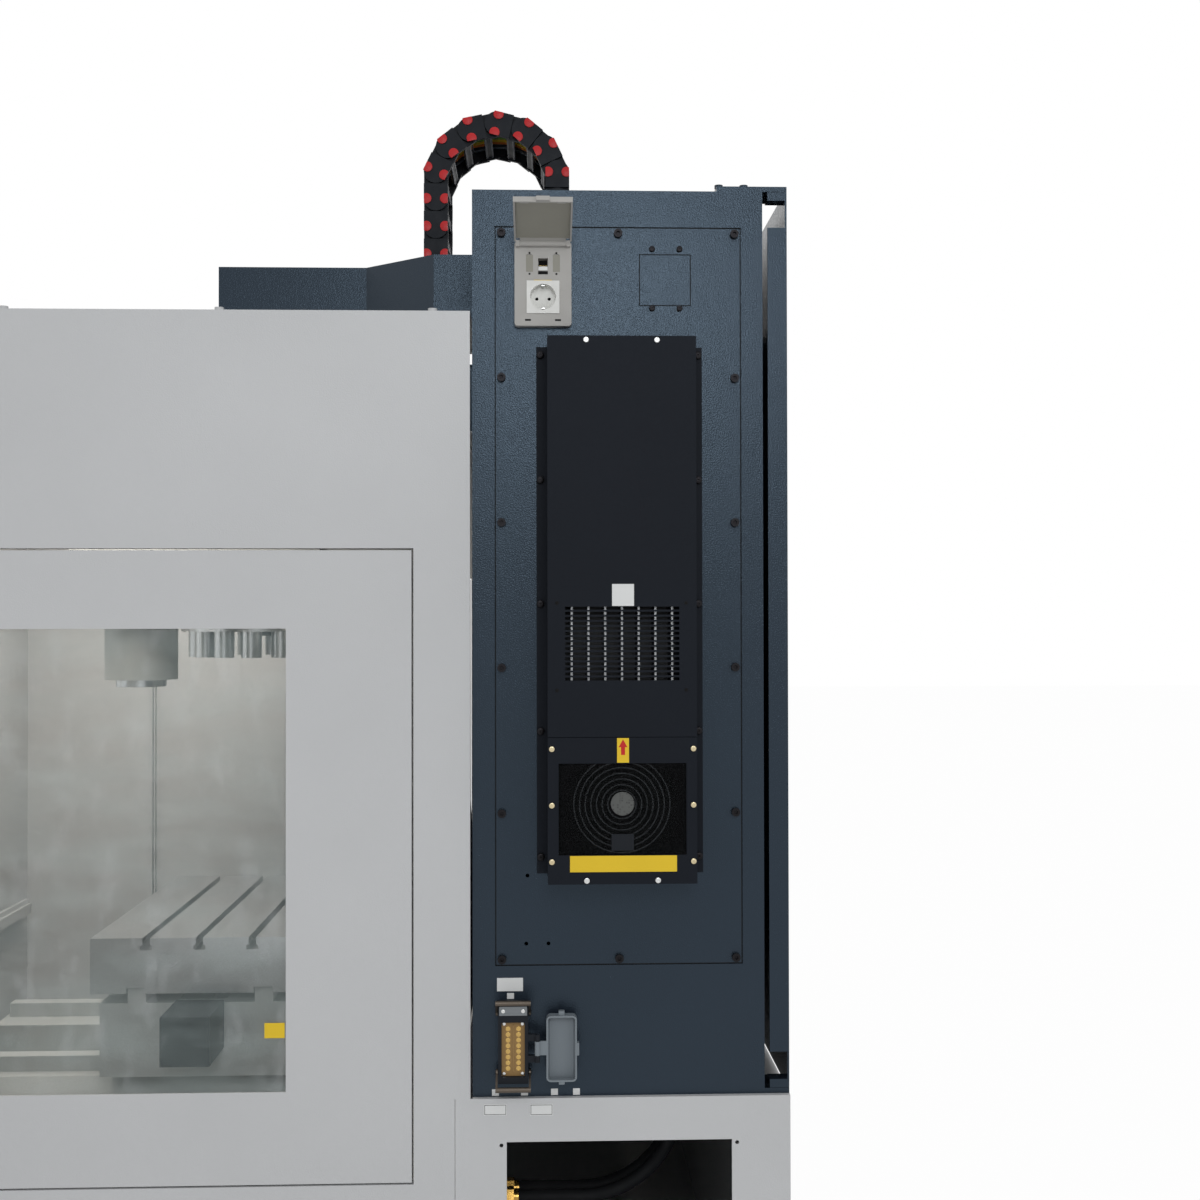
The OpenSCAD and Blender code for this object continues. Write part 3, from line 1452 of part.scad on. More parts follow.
module link_run(first, last) {
  color(dark) for (i = [first:last]) {
    p = joint_at(i);
    translate([chain_x, p[0], p[1]]) rotate([heading(i), 0, 0]) link();
  }
}
module chain_link_a() { link_run(1, 1); }
module chain_link_b() { link_run(2, 2); }
module chain_bend() { link_run(moving_bends, arch_bends); }
module chain_link_c() { link_run(arch_bends + 1, arch_bends + 1); }
module chain_link_d() { link_run(arch_bends + 2, arch_bends + 2); }
module chain_leg() { link_run(arch_bends + moving_bends, arch_bends + moving_bends - 1 + leg_links); }
// Brackets on the cabinet roof that hold the chain's first pivot
foot_w = 30;
foot_t = 5;
module chain_anchor() {
  outer = chain_w / 2;
  step = outer - plate_layer;
  r = link_h / 2;
  color(dark) translate([chain_x, chain_y, 0]) both_sides() difference() {
    union() {
      block([step, -r, cab_high], [outer, r, chain_z]);
      rod_x([step, 0, chain_z], link_h, plate_layer);
      block([step, -r, cab_high], [outer + foot_w, r, cab_high + foot_t]);
    }
    rod_x([step - past, 0, chain_z], pivot_d + 2 * fit_clear, plate_layer + 2 * past);
  }
}

placed() bed();
placed() column();
placed() levelling_feet();
placed() servo_motors();
placed() rear_skirt();
placed() right_panel();
placed() left_panel();
placed() front_frame();
placed() roof_panel();
placed() top_guard();
placed() cabinet_shell();
placed() cabinet_cover();
placed() cover_bolts();
placed() pivot_plates();
placed() control_gear();
placed() exchanger_housing();
placed() exchanger_core();
placed() filter_frame();
placed() interface_frame();
placed() socket_insert();
placed() connector_housing();
placed() connector_insert();
placed() coolant_hoses();
placed() hose_fitting();
placed() chain_anchor();
placed() magazine_bracket();
placed() saddle();
placed() x_motor();
placed() table();
placed() head();
placed() spindle_motor();
placed() chain_arm();
placed() spindle();
placed() tool_disc();
placed() right_door();
placed() right_window();
placed() left_door();
placed() left_handle();
placed() front_door_left();
placed() front_door_right();
placed() front_window_left();
placed() front_window_right();
placed() cabinet_door_right();
placed() cabinet_door_left();
placed() interface_lid();
placed() connector_cap();
placed() upper_lever();
placed() lower_lever();
placed() fan_rotor();
placed() chain_link_a();
placed() chain_link_b();
placed() chain_bend();
placed() chain_link_c();
placed() chain_link_d();
placed() chain_leg();
placed() x_screw();
placed() y_screw();
placed() z_screw();
placed() control_panel();
placed() stop_button();
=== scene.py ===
import json
import math

import bpy
from mathutils import Matrix, Vector


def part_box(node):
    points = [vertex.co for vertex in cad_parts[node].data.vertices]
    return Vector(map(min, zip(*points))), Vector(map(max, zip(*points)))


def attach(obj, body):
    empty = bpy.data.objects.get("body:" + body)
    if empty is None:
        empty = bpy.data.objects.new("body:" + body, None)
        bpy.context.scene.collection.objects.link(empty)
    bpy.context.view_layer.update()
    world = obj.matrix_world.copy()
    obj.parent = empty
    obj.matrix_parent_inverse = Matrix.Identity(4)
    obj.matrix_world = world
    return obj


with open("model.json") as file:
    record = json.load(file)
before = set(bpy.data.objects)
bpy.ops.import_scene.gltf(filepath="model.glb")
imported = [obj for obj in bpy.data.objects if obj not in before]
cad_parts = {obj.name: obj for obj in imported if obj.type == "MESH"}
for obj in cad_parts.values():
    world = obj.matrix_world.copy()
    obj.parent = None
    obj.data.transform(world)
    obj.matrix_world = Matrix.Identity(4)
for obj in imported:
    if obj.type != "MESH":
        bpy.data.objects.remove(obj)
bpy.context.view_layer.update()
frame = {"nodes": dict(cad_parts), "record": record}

bl_info = {
    "name": "Machining Center Looks",
    "version": (1, 0, 0),
    "blender": (4, 2, 0),
    "location": "View3D > Sidebar > Machine",
    "description": "Finishes, fittings and stage for a small vertical machining center",
    "category": "Object",
}


# Places and colours


def machine_origin():
    """The point on the floor under the middle of the cabinet's front plane."""
    low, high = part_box("cabinet_shell")
    return Vector(((low[0] + high[0]) / 2, low[1], 0.0))


def at(x, y, z):
    """A place in millimetres from the machine's origin, as a point of the frame."""
    return ORIGIN + Vector((x, y, z)) / 1000.0


def linear(red, green, blue):
    """A colour given as 0 to 255 screen values, as scene values."""

    def one(value):
        value /= 255.0
        return value / 12.92 if value <= 0.04045 else ((value + 0.055) / 1.055) ** 2.4

    return (one(red), one(green), one(blue), 1.0)


ORIGIN = machine_origin()

# Faces that look to +X, and the plane that the connector's contacts stand on, in millimetres

CABINET_FACE = 940
SKIRT_FACE = 950
EXCHANGER_FACE = 1020
EXCHANGER_FLANGE = 942
FILTER_FACE = 1018.8
INTERFACE_FACE = 954
CONNECTOR_FACE = 976
INSERT_FACE = 968
CONTACT_FOOT = 956.5
FILM_FACE = 948.0
STICKER_FACE = 949.9

# Thickness and edge rounding of a thin label and of a stiffer one, in millimetres

LABEL = (0.5, 0.15)
STIFF_LABEL = (0.6, 0.2)

# The fan guard: its middle in Y and Z, the distance of its rings and its radius

GUARD_MIDDLE = (225, 1254.5)
GUARD_RING_STEP = 8.4
GUARD_RADIUS = 77.0


# Settings


class FinishSettings(bpy.types.PropertyGroup):
    white: bpy.props.FloatVectorProperty(
        name="Panel White", description="Powder coat of the side panels and doors",
        default=linear(200, 201, 202), size=4, subtype="COLOR", min=0, max=1)
    slate: bpy.props.FloatVectorProperty(
        name="Slate Blue", description="Powder coat of the cabinet, its doors and the guard",
        default=linear(32, 39, 48), size=4, subtype="COLOR", min=0, max=1)
    black: bpy.props.FloatVectorProperty(
        name="Exchanger Black", description="Paint of the heat exchanger",
        default=linear(23, 27, 34), size=4, subtype="COLOR", min=0, max=1)
    beige: bpy.props.FloatVectorProperty(
        name="Interface Beige", description="Plastic of the service interface",
        default=linear(174, 172, 168), size=4, subtype="COLOR", min=0, max=1)
    chain: bpy.props.FloatVectorProperty(
        name="Chain Black", description="Plastic of the drag chain",
        default=linear(30, 33, 38), size=4, subtype="COLOR", min=0, max=1)
    dot: bpy.props.FloatVectorProperty(
        name="Dot Red", description="Locking dots of the drag chain",
        default=linear(196, 34, 38), size=4, subtype="COLOR", min=0, max=1)
    label: bpy.props.FloatVectorProperty(
        name="Plate Yellow", description="Bare yellow plates",
        default=linear(232, 196, 44), size=4, subtype="COLOR", min=0, max=1)
    paint_grain: bpy.props.FloatProperty(
        name="Paint Grain", description="Width of one grain of the textured paint",
        default=0.0021, min=0.0002, max=0.02, unit="LENGTH")
    paint_depth: bpy.props.FloatProperty(
        name="Paint Depth", description="Height of the textured paint's grain",
        default=0.00026, min=0.0, max=0.005, unit="LENGTH")


class StageSettings(bpy.types.PropertyGroup):
    camera_place: bpy.props.FloatVectorProperty(
        name="Camera Place", description="Where the camera stands",
        default=(3.24427, 0.56748, 1.53353), size=3, subtype="TRANSLATION", unit="LENGTH")
    camera_turn: bpy.props.FloatVectorProperty(
        name="Camera Turn", description="How the camera is turned",
        default=(1.5815, 0.0018, 1.5342), size=3, subtype="EULER", unit="ROTATION")
    lens: bpy.props.FloatProperty(
        name="Lens", description="Focal length in millimetres",
        default=46.06, min=10, max=300)
    floor_width: bpy.props.FloatProperty(
        name="Floor Width", description="Side of the floor",
        default=60.0, min=5, max=200, unit="LENGTH")
    key_power: bpy.props.FloatProperty(
        name="Key Light", description="Power of the large light behind and above the camera",
        default=26.0, min=0, max=2000, unit="POWER")
    fill_power: bpy.props.FloatProperty(
        name="Fill Light", description="Power of the light on the cabinet's side",
        default=10.0, min=0, max=2000, unit="POWER")
    top_power: bpy.props.FloatProperty(
        name="Top Light", description="Power of the light overhead",
        default=14.0, min=0, max=2000, unit="POWER")
    lamp_power: bpy.props.FloatProperty(
        name="Work Lamp", description="Power of the lamp over the table",
        default=14.0, min=0, max=2000, unit="POWER")
    sky: bpy.props.FloatProperty(
        name="Sky", description="Strength of the even light from all round",
        default=0.55, min=0, max=5)


# Mesh helpers


def deselect():
    """Leaves edit mode and selects nothing."""
    if bpy.context.mode != "OBJECT":
        bpy.ops.object.mode_set(mode="OBJECT")
    bpy.ops.object.select_all(action="DESELECT")


def pick(obj):
    """Selects one object alone and makes it the active one."""
    deselect()
    obj.select_set(True)
    bpy.context.view_layer.objects.active = obj


def settle(obj):
    """Puts an object's place, turn and scale into its mesh."""
    pick(obj)
    bpy.ops.object.transform_apply(location=True, rotation=True, scale=True)


def named(name):
    """Gives the active object and its data a name."""
    obj = bpy.context.object
    obj.name = name
    obj.data.name = name
    return obj


def edit_faces(obj, keep):
    """Enters edit mode with only the faces selected for which keep(face) is true."""
    pick(obj)
    bpy.ops.object.mode_set(mode="EDIT")
    bpy.ops.mesh.select_mode(type="FACE")
    bpy.ops.mesh.select_all(action="DESELECT")
    bpy.ops.object.mode_set(mode="OBJECT")
    chosen = [face for face in obj.data.polygons if keep(face)]
    if not chosen:
        raise RuntimeError(f"no face of {obj.name} fits")
    for face in chosen:
        face.select = True
    bpy.ops.object.mode_set(mode="EDIT")


def leave_edit():
    bpy.ops.object.mode_set(mode="OBJECT")


def box(name, low, high, edge=0.0, segments=2):
    """A block between two corners with its edges rounded."""
    deselect()
    low, high = Vector(low), Vector(high)
    bpy.ops.mesh.primitive_cube_add(size=1.0, location=(low + high) / 2)
    obj = named(name)
    obj.scale = high - low
    settle(obj)
    if edge > 0:
        bpy.ops.object.mode_set(mode="EDIT")
        bpy.ops.mesh.select_all(action="SELECT")
        bpy.ops.mesh.bevel(offset=edge, segments=segments, affect="EDGES")
        leave_edit()
    return obj


def turned_to(direction):
    """The turn that takes +Z to a direction."""
    return Vector(direction).to_track_quat("Z", "Y").to_euler()


def disc(name, place, direction, radius, height, edge=0.0, sides=32):
    """A round piece that stands on a place and rises along a direction."""
    deselect()
    direction = Vector(direction).normalized()
    bpy.ops.mesh.primitive_cylinder_add(
        vertices=sides, radius=radius, depth=height,
        location=Vector(place) + direction * height / 2, rotation=turned_to(direction))
    obj = named(name)
    settle(obj)
    if edge > 0:
        far = (Vector(place) + direction * height).dot(direction)
        edit_faces(obj, lambda f: abs(Vector(f.center).dot(direction) - far) < 1e-6)
        bpy.ops.mesh.bevel(offset=edge, segments=2, affect="EDGES")
        leave_edit()
    return obj


def sink_top(obj, direction, inset, depth):
    """Insets the face furthest along a direction and pushes it down."""
    direction = Vector(direction).normalized()
    top = max(Vector(f.center).dot(direction) for f in obj.data.polygons)
    edit_faces(obj, lambda f: abs(Vector(f.center).dot(direction) - top) < 1e-6
               and Vector(f.normal).dot(direction) > 0.9)
    bpy.ops.mesh.inset(thickness=inset)
    bpy.ops.mesh.extrude_region_move(
        TRANSFORM_OT_translate={"value": -direction * depth})
    leave_edit()
    return obj


def smooth(obj, degrees=35):
    """Shades an object smoothly where its faces meet at a small angle."""
    pick(obj)
    bpy.ops.object.shade_smooth_by_angle(angle=math.radians(degrees))
    return obj


def copied(obj, shift, name):
    """A copy with a mesh of its own, moved by a shift."""
    twin = obj.copy()
    twin.data = obj.data.copy()
    twin.name = name
    twin.data.name = name
    twin.data.transform(Matrix.Translation(Vector(shift)))
    bpy.context.collection.objects.link(twin)
    return twin


def joined(name, objs):
    """One object made of several."""
    deselect()
    for obj in objs:
        obj.select_set(True)
    bpy.context.view_layer.objects.active = objs[0]
    if len(objs) > 1:
        bpy.ops.object.join()
    return named(name)


def repeated(name, obj, places):
    """One object with a copy of obj, which stands at the first place, at each place."""
    first = Vector(places[0])
    twins = [copied(obj, Vector(p) - first, f"{name}_{i}") for i, p in enumerate(places[1:], 2)]
    return joined(name, [obj] + twins)


def swept(name, points, radius, sides=4):
    """A tube along points."""
    curve = bpy.data.curves.new(name, "CURVE")
    curve.dimensions = "3D"
    curve.bevel_depth = radius
    curve.bevel_resolution = sides
    curve.use_fill_caps = True
    spline = curve.splines.new("POLY")
    spline.points.add(len(points) - 1)
    for point, place in zip(spline.points, points):
        point.co = (*place, 1.0)
    obj = bpy.data.objects.new(name, curve)
    bpy.context.collection.objects.link(obj)
    pick(obj)
    bpy.ops.object.convert(target="MESH")
    return named(name)


def fitted(obj, material, body):
    """Gives a piece its material, body and slot."""
    obj.data.materials.clear()
    obj.data.materials.append(FINISHES[material])
    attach(obj, body)
    return obj


# Material helpers


FINISHES = {}


class Shader:
    """A new material with its shader and a place to read from."""

    def __init__(self, name):
        self.material = FINISHES[name] = bpy.data.materials.new(name)
        self.material.use_nodes = True
        self.nodes = self.material.node_tree.nodes
        self.links = self.material.node_tree.links
        self.surface = self.nodes["Principled BSDF"]
        self.places = self.nodes.new("ShaderNodeTexCoord").outputs["Object"]

    def set(self, **values):
        """Sets sockets of the shader, named with an underscore for each space."""
        for key, value in values.items():
            self.surface.inputs[key.replace("_", " ")].default_value = value
        return self

    def noise(self, size, detail=2.0, stretch=(1, 1, 1), rough=0.5):
        """Noise whose features are about size metres wide."""
        place = self.places
        if stretch != (1, 1, 1):
            mapping = self.nodes.new("ShaderNodeMapping")
            mapping.inputs["Scale"].default_value = stretch
            self.links.new(self.places, mapping.inputs["Vector"])
            place = mapping.outputs["Vector"]
        node = self.nodes.new("ShaderNodeTexNoise")
        node.inputs["Scale"].default_value = 1.0 / size
        node.inputs["Detail"].default_value = detail
        node.inputs["Roughness"].default_value = rough
        self.links.new(place, node.inputs["Vector"])
        return node.outputs["Fac"]

    def spread(self, value, low, high, start=0.3, end=0.7):
        """A value mapped from start..end to low..high."""
        node = self.nodes.new("ShaderNodeMapRange")
        for key, number in (("From Min", start), ("From Max", end), ("To Min", low), ("To Max", high)):
            node.inputs[key].default_value = number
        self.links.new(value, node.inputs["Value"])
        return node.outputs["Result"]

    def mix(self, factor, first, second):
        """A colour between two, by a factor."""
        node = self.nodes.new("ShaderNodeMix")
        node.data_type = "RGBA"
        for socket in node.inputs:
            if socket.type == "RGBA":
                socket.default_value = first if socket.name == "A" else second
        self.links.new(factor, node.inputs["Factor"])
        return next(s for s in node.outputs if s.type == "RGBA")

    def maths(self, operation, value, other):
        """A number worked out from a socket and another socket or a constant."""
        node = self.nodes.new("ShaderNodeMath")
        node.operation = operation
        self.links.new(value, node.inputs[0])
        if isinstance(other, float):
            node.inputs[1].default_value = other
        else:
            self.links.new(other, node.inputs[1])
        return node.outputs["Value"]

    def distance(self, centre):
        """The distance in Y and Z from a point of the frame."""
        away = self.nodes.new("ShaderNodeVectorMath")
        away.operation = "SUBTRACT"
        away.inputs[1].default_value = centre
        flat = self.nodes.new("ShaderNodeVectorMath")
        flat.operation = "MULTIPLY"
        flat.inputs[1].default_value = (0, 1, 1)
        reach = self.nodes.new("ShaderNodeVectorMath")
        reach.operation = "LENGTH"
        self.links.new(self.places, away.inputs[0])
        self.links.new(away.outputs["Vector"], flat.inputs[0])
        self.links.new(flat.outputs["Vector"], reach.inputs[0])
        return reach.outputs["Value"]

    def relief(self, value, depth, strength=1.0):
        """Bumps the surface by a value, up to a depth in metres."""
        node = self.nodes.new("ShaderNodeBump")
        node.inputs["Distance"].default_value = depth
        node.inputs["Strength"].default_value = strength
        self.links.new(value, node.inputs["Height"])
        self.links.new(node.outputs["Normal"], self.surface.inputs["Normal"])

    def feed(self, key, value):
        """Leads a value into a socket of the shader."""
        self.links.new(value, self.surface.inputs[key])


def shade(colour, factor):
    """A colour made lighter or darker."""
    return tuple(min(1.0, c * factor) for c in colour[:3]) + (1.0,)


def paint(name, colour, rough, grain, depth, patch=0.05, gloss=0.5):
    """Textured paint: a fine grain, soft patches of tone and a varying gloss."""
    made = Shader(name).set(Specular_IOR_Level=gloss)
    tone = made.spread(made.noise(0.35, 4.0), 0.0, 1.0)
    made.feed("Base Color", made.mix(tone, shade(colour, 1 - patch), shade(colour, 1 + patch)))
    made.feed("Roughness", made.spread(made.noise(grain * 3, 2.0), rough - 0.03, rough + 0.03))
    made.relief(made.noise(grain, 2.0), depth)
    return made


def metal(name, colour, rough, stretch=(1, 1, 1), grain=0.004, depth=0.00008):
    """Worked metal: streaks in its gloss and a shallow relief."""
    made = Shader(name).set(Metallic=1.0)
    streak = made.noise(grain, 3.0, stretch)
    made.feed("Base Color", made.mix(streak, shade(colour, 0.82), shade(colour, 1.08)))
    made.feed("Roughness", made.spread(streak, rough - 0.08, rough + 0.1))
    made.relief(streak, depth, 0.5)
    return made


def plastic(name, colour, rough, grain=0.0012, depth=0.00006, patch=0.04, gloss=0.3):
    """Moulded plastic with a faint grain."""
    made = Shader(name).set(Specular_IOR_Level=gloss)
    tone = made.noise(0.06, 3.0)
    made.feed("Base Color", made.mix(tone, shade(colour, 1 - patch), shade(colour, 1 + patch)))
    made.feed("Roughness", made.spread(made.noise(0.02, 3.0), rough - 0.05, rough + 0.08))
    made.relief(made.noise(grain, 1.0), depth, 0.6)
    return made


# Finishes


def brushed_steel(name, colour, rough):
    """Steel whose fine streaks are thin in Y."""
    return metal(name, colour, rough, stretch=(1, 30, 1))


def pane(name, colour, clear):
    """A thin clear sheet with faint wipe marks."""
    made = Shader(name).set(Base_Color=colour, IOR=1.45)
    wipe = made.noise(0.12, 3.0, (1, 1, 3))
    made.feed("Roughness", made.spread(wipe, 0.02, 0.12))
    made.feed("Alpha", made.spread(wipe, clear, clear + 0.08))
    return made


def film(name):
    """Loose protective film on a nearly clear sheet: creases in its relief, and painted highlights where
    the sheet turns whiter along the creases.
    """
    made = Shader(name).set(Base_Color=linear(236, 240, 242), Roughness=0.16)
    crease = made.noise(0.075, 5.0, (1, 1.6, 0.7), 0.62)
    made.relief(crease, 0.009)
    # Painted highlight: the sheet turns whiter and less clear along the creases, as if they caught the
    # light.
    made.feed("Alpha", made.spread(crease, 0.0, 0.2, 0.52, 0.76))
    return made


def fins(name, edge, core_shade):
    """Aluminium fins with painted shade: bright at their front edges and dark deeper in the core, where
    less light falls.
    """
    made = Shader(name).set(Metallic=0.3, Roughness=0.42)
    split = made.nodes.new("ShaderNodeSeparateXYZ")
    made.links.new(made.places, split.inputs["Vector"])
    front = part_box("exchanger_core")[1][0]
    # Painted shade: the colour darkens from the front edges into the core, where the light does not
    # reach.
    depth = made.spread(split.outputs["X"], 0.0, 1.0, front - 0.003, front - 0.0005)
    made.feed("Base Color", made.mix(depth, core_shade, edge))
    made.relief(made.noise(0.003, 2.0, (1, 1, 20)), 0.0001)
    return made


def weave(name, dark, pale, scale):
    """A coarse weave of pale wire over a dark ground."""
    made = Shader(name).set(Roughness=0.5)
    cells = made.nodes.new("ShaderNodeTexVoronoi")
    cells.distance = "CHEBYCHEV"
    cells.inputs["Scale"].default_value = scale
    cells.inputs["Randomness"].default_value = 0.15
    made.links.new(made.places, cells.inputs["Vector"])
    wire = made.spread(cells.outputs["Distance"], 0.0, 1.0, 0.25, 0.4)
    made.feed("Base Color", made.mix(wire, dark, pale))
    made.relief(cells.outputs["Distance"], 0.0004)
    return made


def mesh_cloth(name):
    """Dark filter mesh: small holes in a weave, with the fan guard's rings showing through."""
    made = Shader(name).set(Roughness=0.8, Specular_IOR_Level=0.05)
    cells = made.nodes.new("ShaderNodeTexVoronoi")
    cells.inputs["Scale"].default_value = 520.0
    made.links.new(made.places, cells.inputs["Vector"])
    reach = made.distance(at(0, *GUARD_MIDDLE))
    wave = made.maths("PINGPONG", reach, GUARD_RING_STEP / 2000)
    wire = made.spread(wave, 0.0, 1.0, 0.0030, 0.0036)
    ring = made.maths("MULTIPLY", wire, made.maths("LESS_THAN", reach, GUARD_RADIUS / 1000))
    made.feed("Base Color", made.mix(ring, linear(16, 17, 18), linear(50, 52, 54)))
    made.feed("Alpha", made.spread(cells.outputs["Distance"], 0.5, 0.9, 0.1, 0.6))
    made.relief(cells.outputs["Distance"], 0.0012)
    return made


def all_materials(look):
    """Makes every finish from the settings."""
    grain, depth = look.paint_grain, look.paint_depth
    paint("white_paint", tuple(look.white), 0.42, grain, depth, 0.03, 0.4)
    slate = paint("slate_paint", tuple(look.slate), 0.23, grain, depth * 1.5, 0.06, 0.42)
    slate.set(Specular_Tint=(0.6, 0.8, 1.0, 1.0))
    paint("black_paint", tuple(look.black), 0.55, grain * 0.6, depth * 0.4, 0.08, 0.1)
    metal("black_oxide", linear(38, 37, 39), 0.42, grain=0.002)
    paint("cast_iron", linear(176, 178, 176), 0.55, 0.006, 0.0004, 0.07)
    brushed_steel("machined_steel", linear(196, 198, 200), 0.28)
    # The fins' own pale aluminium at the front edges, and near black painted shade deep in the core.
    fins("fin_aluminium", linear(214, 217, 220), linear(24, 25, 27))
    plastic("beige_plastic", tuple(look.beige), 0.45)
    plastic("white_plastic", linear(226, 226, 222), 0.35)
    plastic("grey_plastic", linear(124, 132, 138), 0.42)
    plastic("tan_plastic", linear(150, 119, 74), 0.48)
    plastic("black_plastic", tuple(look.chain), 0.46, gloss=0.12)
    plastic("black_rubber", linear(26, 27, 29), 0.62, gloss=0.12)
    metal("brass", linear(206, 164, 88), 0.26, grain=0.003)
    pane("clear_pane", linear(206, 222, 220), 0.05)
    plastic("red_plastic", tuple(look.dot), 0.38)
    plastic("yellow_plate", tuple(look.label), 0.40)
    plastic("white_plate", linear(224, 225, 224), 0.38)
    plastic("red_print", linear(196, 38, 36), 0.45)
    metal("zinc", linear(212, 213, 212), 0.30, grain=0.003)
    metal("gilt", linear(196, 164, 100), 0.3, grain=0.002)
    # Near black: painted shade for the lid's slots, the socket's pin holes and the seams, and the colour
    # of other small dark marks.
    plastic("dark_hole", linear(12, 12, 13), 0.85)
    mesh_cloth("filter_mesh")
    film("window_film")
    for name, colour in CABLE_COLOURS.items():
        plastic(name, colour, 0.42)
    weave("filter_hub", linear(16, 17, 17), linear(76, 78, 76), 300.0)
    plastic("cap_liner", linear(122, 130, 136), 0.5)
    plastic("lid_liner", linear(148, 146, 136), 0.5)
    plastic("bar_grey", linear(98, 100, 108), 0.48)
    metal("lever_steel", linear(96, 88, 80), 0.45, grain=0.003)
    metal("yellow_zinc", linear(204, 190, 156), 0.32, grain=0.003)
    metal("dull_zinc", linear(120, 124, 127), 0.42, grain=0.003)
    plastic("screen_glass", linear(26, 32, 40), 0.12)
    plastic("key_grey", linear(188, 190, 192), 0.5)


CABLE_COLOURS = {
    "cable_yellow": linear(240, 196, 40),
    "cable_green": linear(116, 168, 62),
    "cable_orange": linear(226, 128, 42),
    "cable_grey": linear(120, 126, 134),
    "cable_black": linear(32, 33, 36),
}


OWN_FINISH = {"upper_lever": "lever_steel", "lower_lever": "lever_steel"}


class MACHINE_OT_finishes(bpy.types.Operator):
    """Make the materials and give each part its own"""

    bl_idname = "machine.finishes"
    bl_label = "Finishes"

    def execute(self, context):
        all_materials(context.scene.machine_finish)
        for part in frame["record"]["subparts"]:
            node = frame["nodes"][part["node"]]
            node.data.materials.clear()
            finish = OWN_FINISH.get(part["node"], part["material_slot"])
            node.data.materials.append(FINISHES[finish])
        return {"FINISHED"}


# Fittings


OUT = Vector((1, 0, 0))


def plate(name, x, y, z, thick=0.8, edge=0.25):
    """A thin plate on a face that looks to +X, between two Y and two Z places in millimetres."""
    return box(name, at(x, y[0], z[0]), at(x + thick, y[1], z[1]), edge / 1000)


def head(name, x, y, z, radius, height, recess=0.45, sides=32):
    """A screw head with a rounded rim and a sunk drive, in millimetres."""
    made = disc(name, at(x, y, z), OUT, radius / 1000, height / 1000, 0.3 * height / 1000, sides)
    sink_top(made, OUT, (1 - recess) * 0.8 * radius / 1000, 0.5 * height / 1000)
    return smooth(made, 40)


def heads(name, x, places, radius, height, recess=0.45, sides=32):
    """Like screw heads at several Y and Z places of one face."""
    first = head(name, x, *places[0], radius, height, recess, sides)
    return repeated(name, first, [at(x, *p) for p in places])


def arrow(name, x, y, low, high, width, thick):
    """A raised arrow that points up: its outline, extruded."""
    wide = width / 2
    neck = low + 0.5 * (high - low)
    outline = [(-0.45 * wide, low), (0.45 * wide, low), (0.45 * wide, neck), (wide, neck),
               (0, high), (-wide, neck), (-0.45 * wide, neck)]
    mesh = bpy.data.meshes.new(name)
    mesh.from_pydata([at(x, y + a, z) for a, z in outline], [], [tuple(range(len(outline)))])
    made = bpy.data.objects.new(name, mesh)
    bpy.context.collection.objects.link(made)
    pick(made)
    bpy.ops.object.mode_set(mode="EDIT")
    bpy.ops.mesh.select_all(action="SELECT")
    bpy.ops.mesh.extrude_region_move(TRANSFORM_OT_translate={"value": OUT * thick / 1000})
    bpy.ops.mesh.select_all(action="SELECT")
    bpy.ops.mesh.normals_make_consistent(inside=False)
    leave_edit()
    return made


class MACHINE_OT_exchanger(bpy.types.Operator):
    """Add the screws, bare plates and filter mesh of the heat exchanger"""

    bl_idname = "machine.exchanger"
    bl_label = "Heat Exchanger"

    def execute(self, context):
        front, flange = EXCHANGER_FACE, EXCHANGER_FLANGE
        top_screws = [(y, z) for y in (172.8, 278.5) for z in (1945, 1142)]
        fitted(heads("exchanger_screws", front, top_screws, 4.2, 2.2), "zinc", "root")
        side_screws = [(y, z) for y in (121, 331.5) for z in (1337, 1253.5, 1170)]
        fitted(heads("filter_screws", front, side_screws, 4.2, 2.4), "yellow_zinc", "root")
        bolts = [(y, z) for y in (104.5, 347.2) for z in (1935, 1743, 1553, 1358, 1166)]
        fitted(heads("flange_bolts", flange, bolts, 5.8, 6.0, 0.5), "black_oxide", "root")
        holes = [(y, z) for y in (129, 321) for z in (1553.5, 1424)]
        fitted(heads("exchanger_rivets", front, holes, 2.6, 0.7, 0.6), "dark_hole", "root")
        badge = plate("exchanger_badge", front, (210.8, 243.5), (1549, 1581.7))
        sink_top(badge, OUT, 0.0025, 0.0002)
        fitted(badge, "white_plate", "root")
        ground = plate("arrow_plate", front, (217.8, 235.6), (1316.5, 1353), *STIFF_LABEL)
        fitted(ground, "yellow_plate", "root")
        sign = arrow("flow_arrow", front + STIFF_LABEL[0], 226.7, 1328, 1351, 13, 0.2)
        fitted(sign, "red_print", "root")
        strip = plate("filter_strip", front, (147.8, 306.6), (1154.7, 1178.8), *STIFF_LABEL)
        fitted(strip, "yellow_plate", "root")
        cloth = plate("filter_cloth", FILTER_FACE - 0.5, (131.2, 320.8), (1179.8, 1315.2), 0.4, 0.1)
        fitted(cloth, "filter_mesh", "root")
        tab = plate("guard_tab", FILTER_FACE, (209.5, 242.5), (1186, 1210.5), 0.8, 0.25)
        sink_top(tab, OUT, 0.002, 0.0002)
        fitted(tab, "black_plastic", "root")
        hub = disc("guard_disc", at(FILTER_FACE, 226, 1255.5), OUT, 0.0175, 0.0006, 0.0002)
        fitted(sink_top(hub, OUT, 0.0015, 0.0002), "filter_hub", "root")
        return {"FINISHED"}


LID_AXIS = (959, 109, 2103)
LID_OPEN = math.radians(107)


def lid_dress(name, low, high, inset):
    """A block drawn on the closed lid, in millimetres from its axis, and turned open with it."""
    made = box(name, Vector(low) / 1000, Vector(high) / 1000, 0.0004)
    if inset:
        sink_top(made, -OUT, inset, 0.0003)
    made.data.transform(Matrix.Translation(at(*LID_AXIS)) @ Matrix.Rotation(-LID_OPEN, 4, "Y"))
    return made


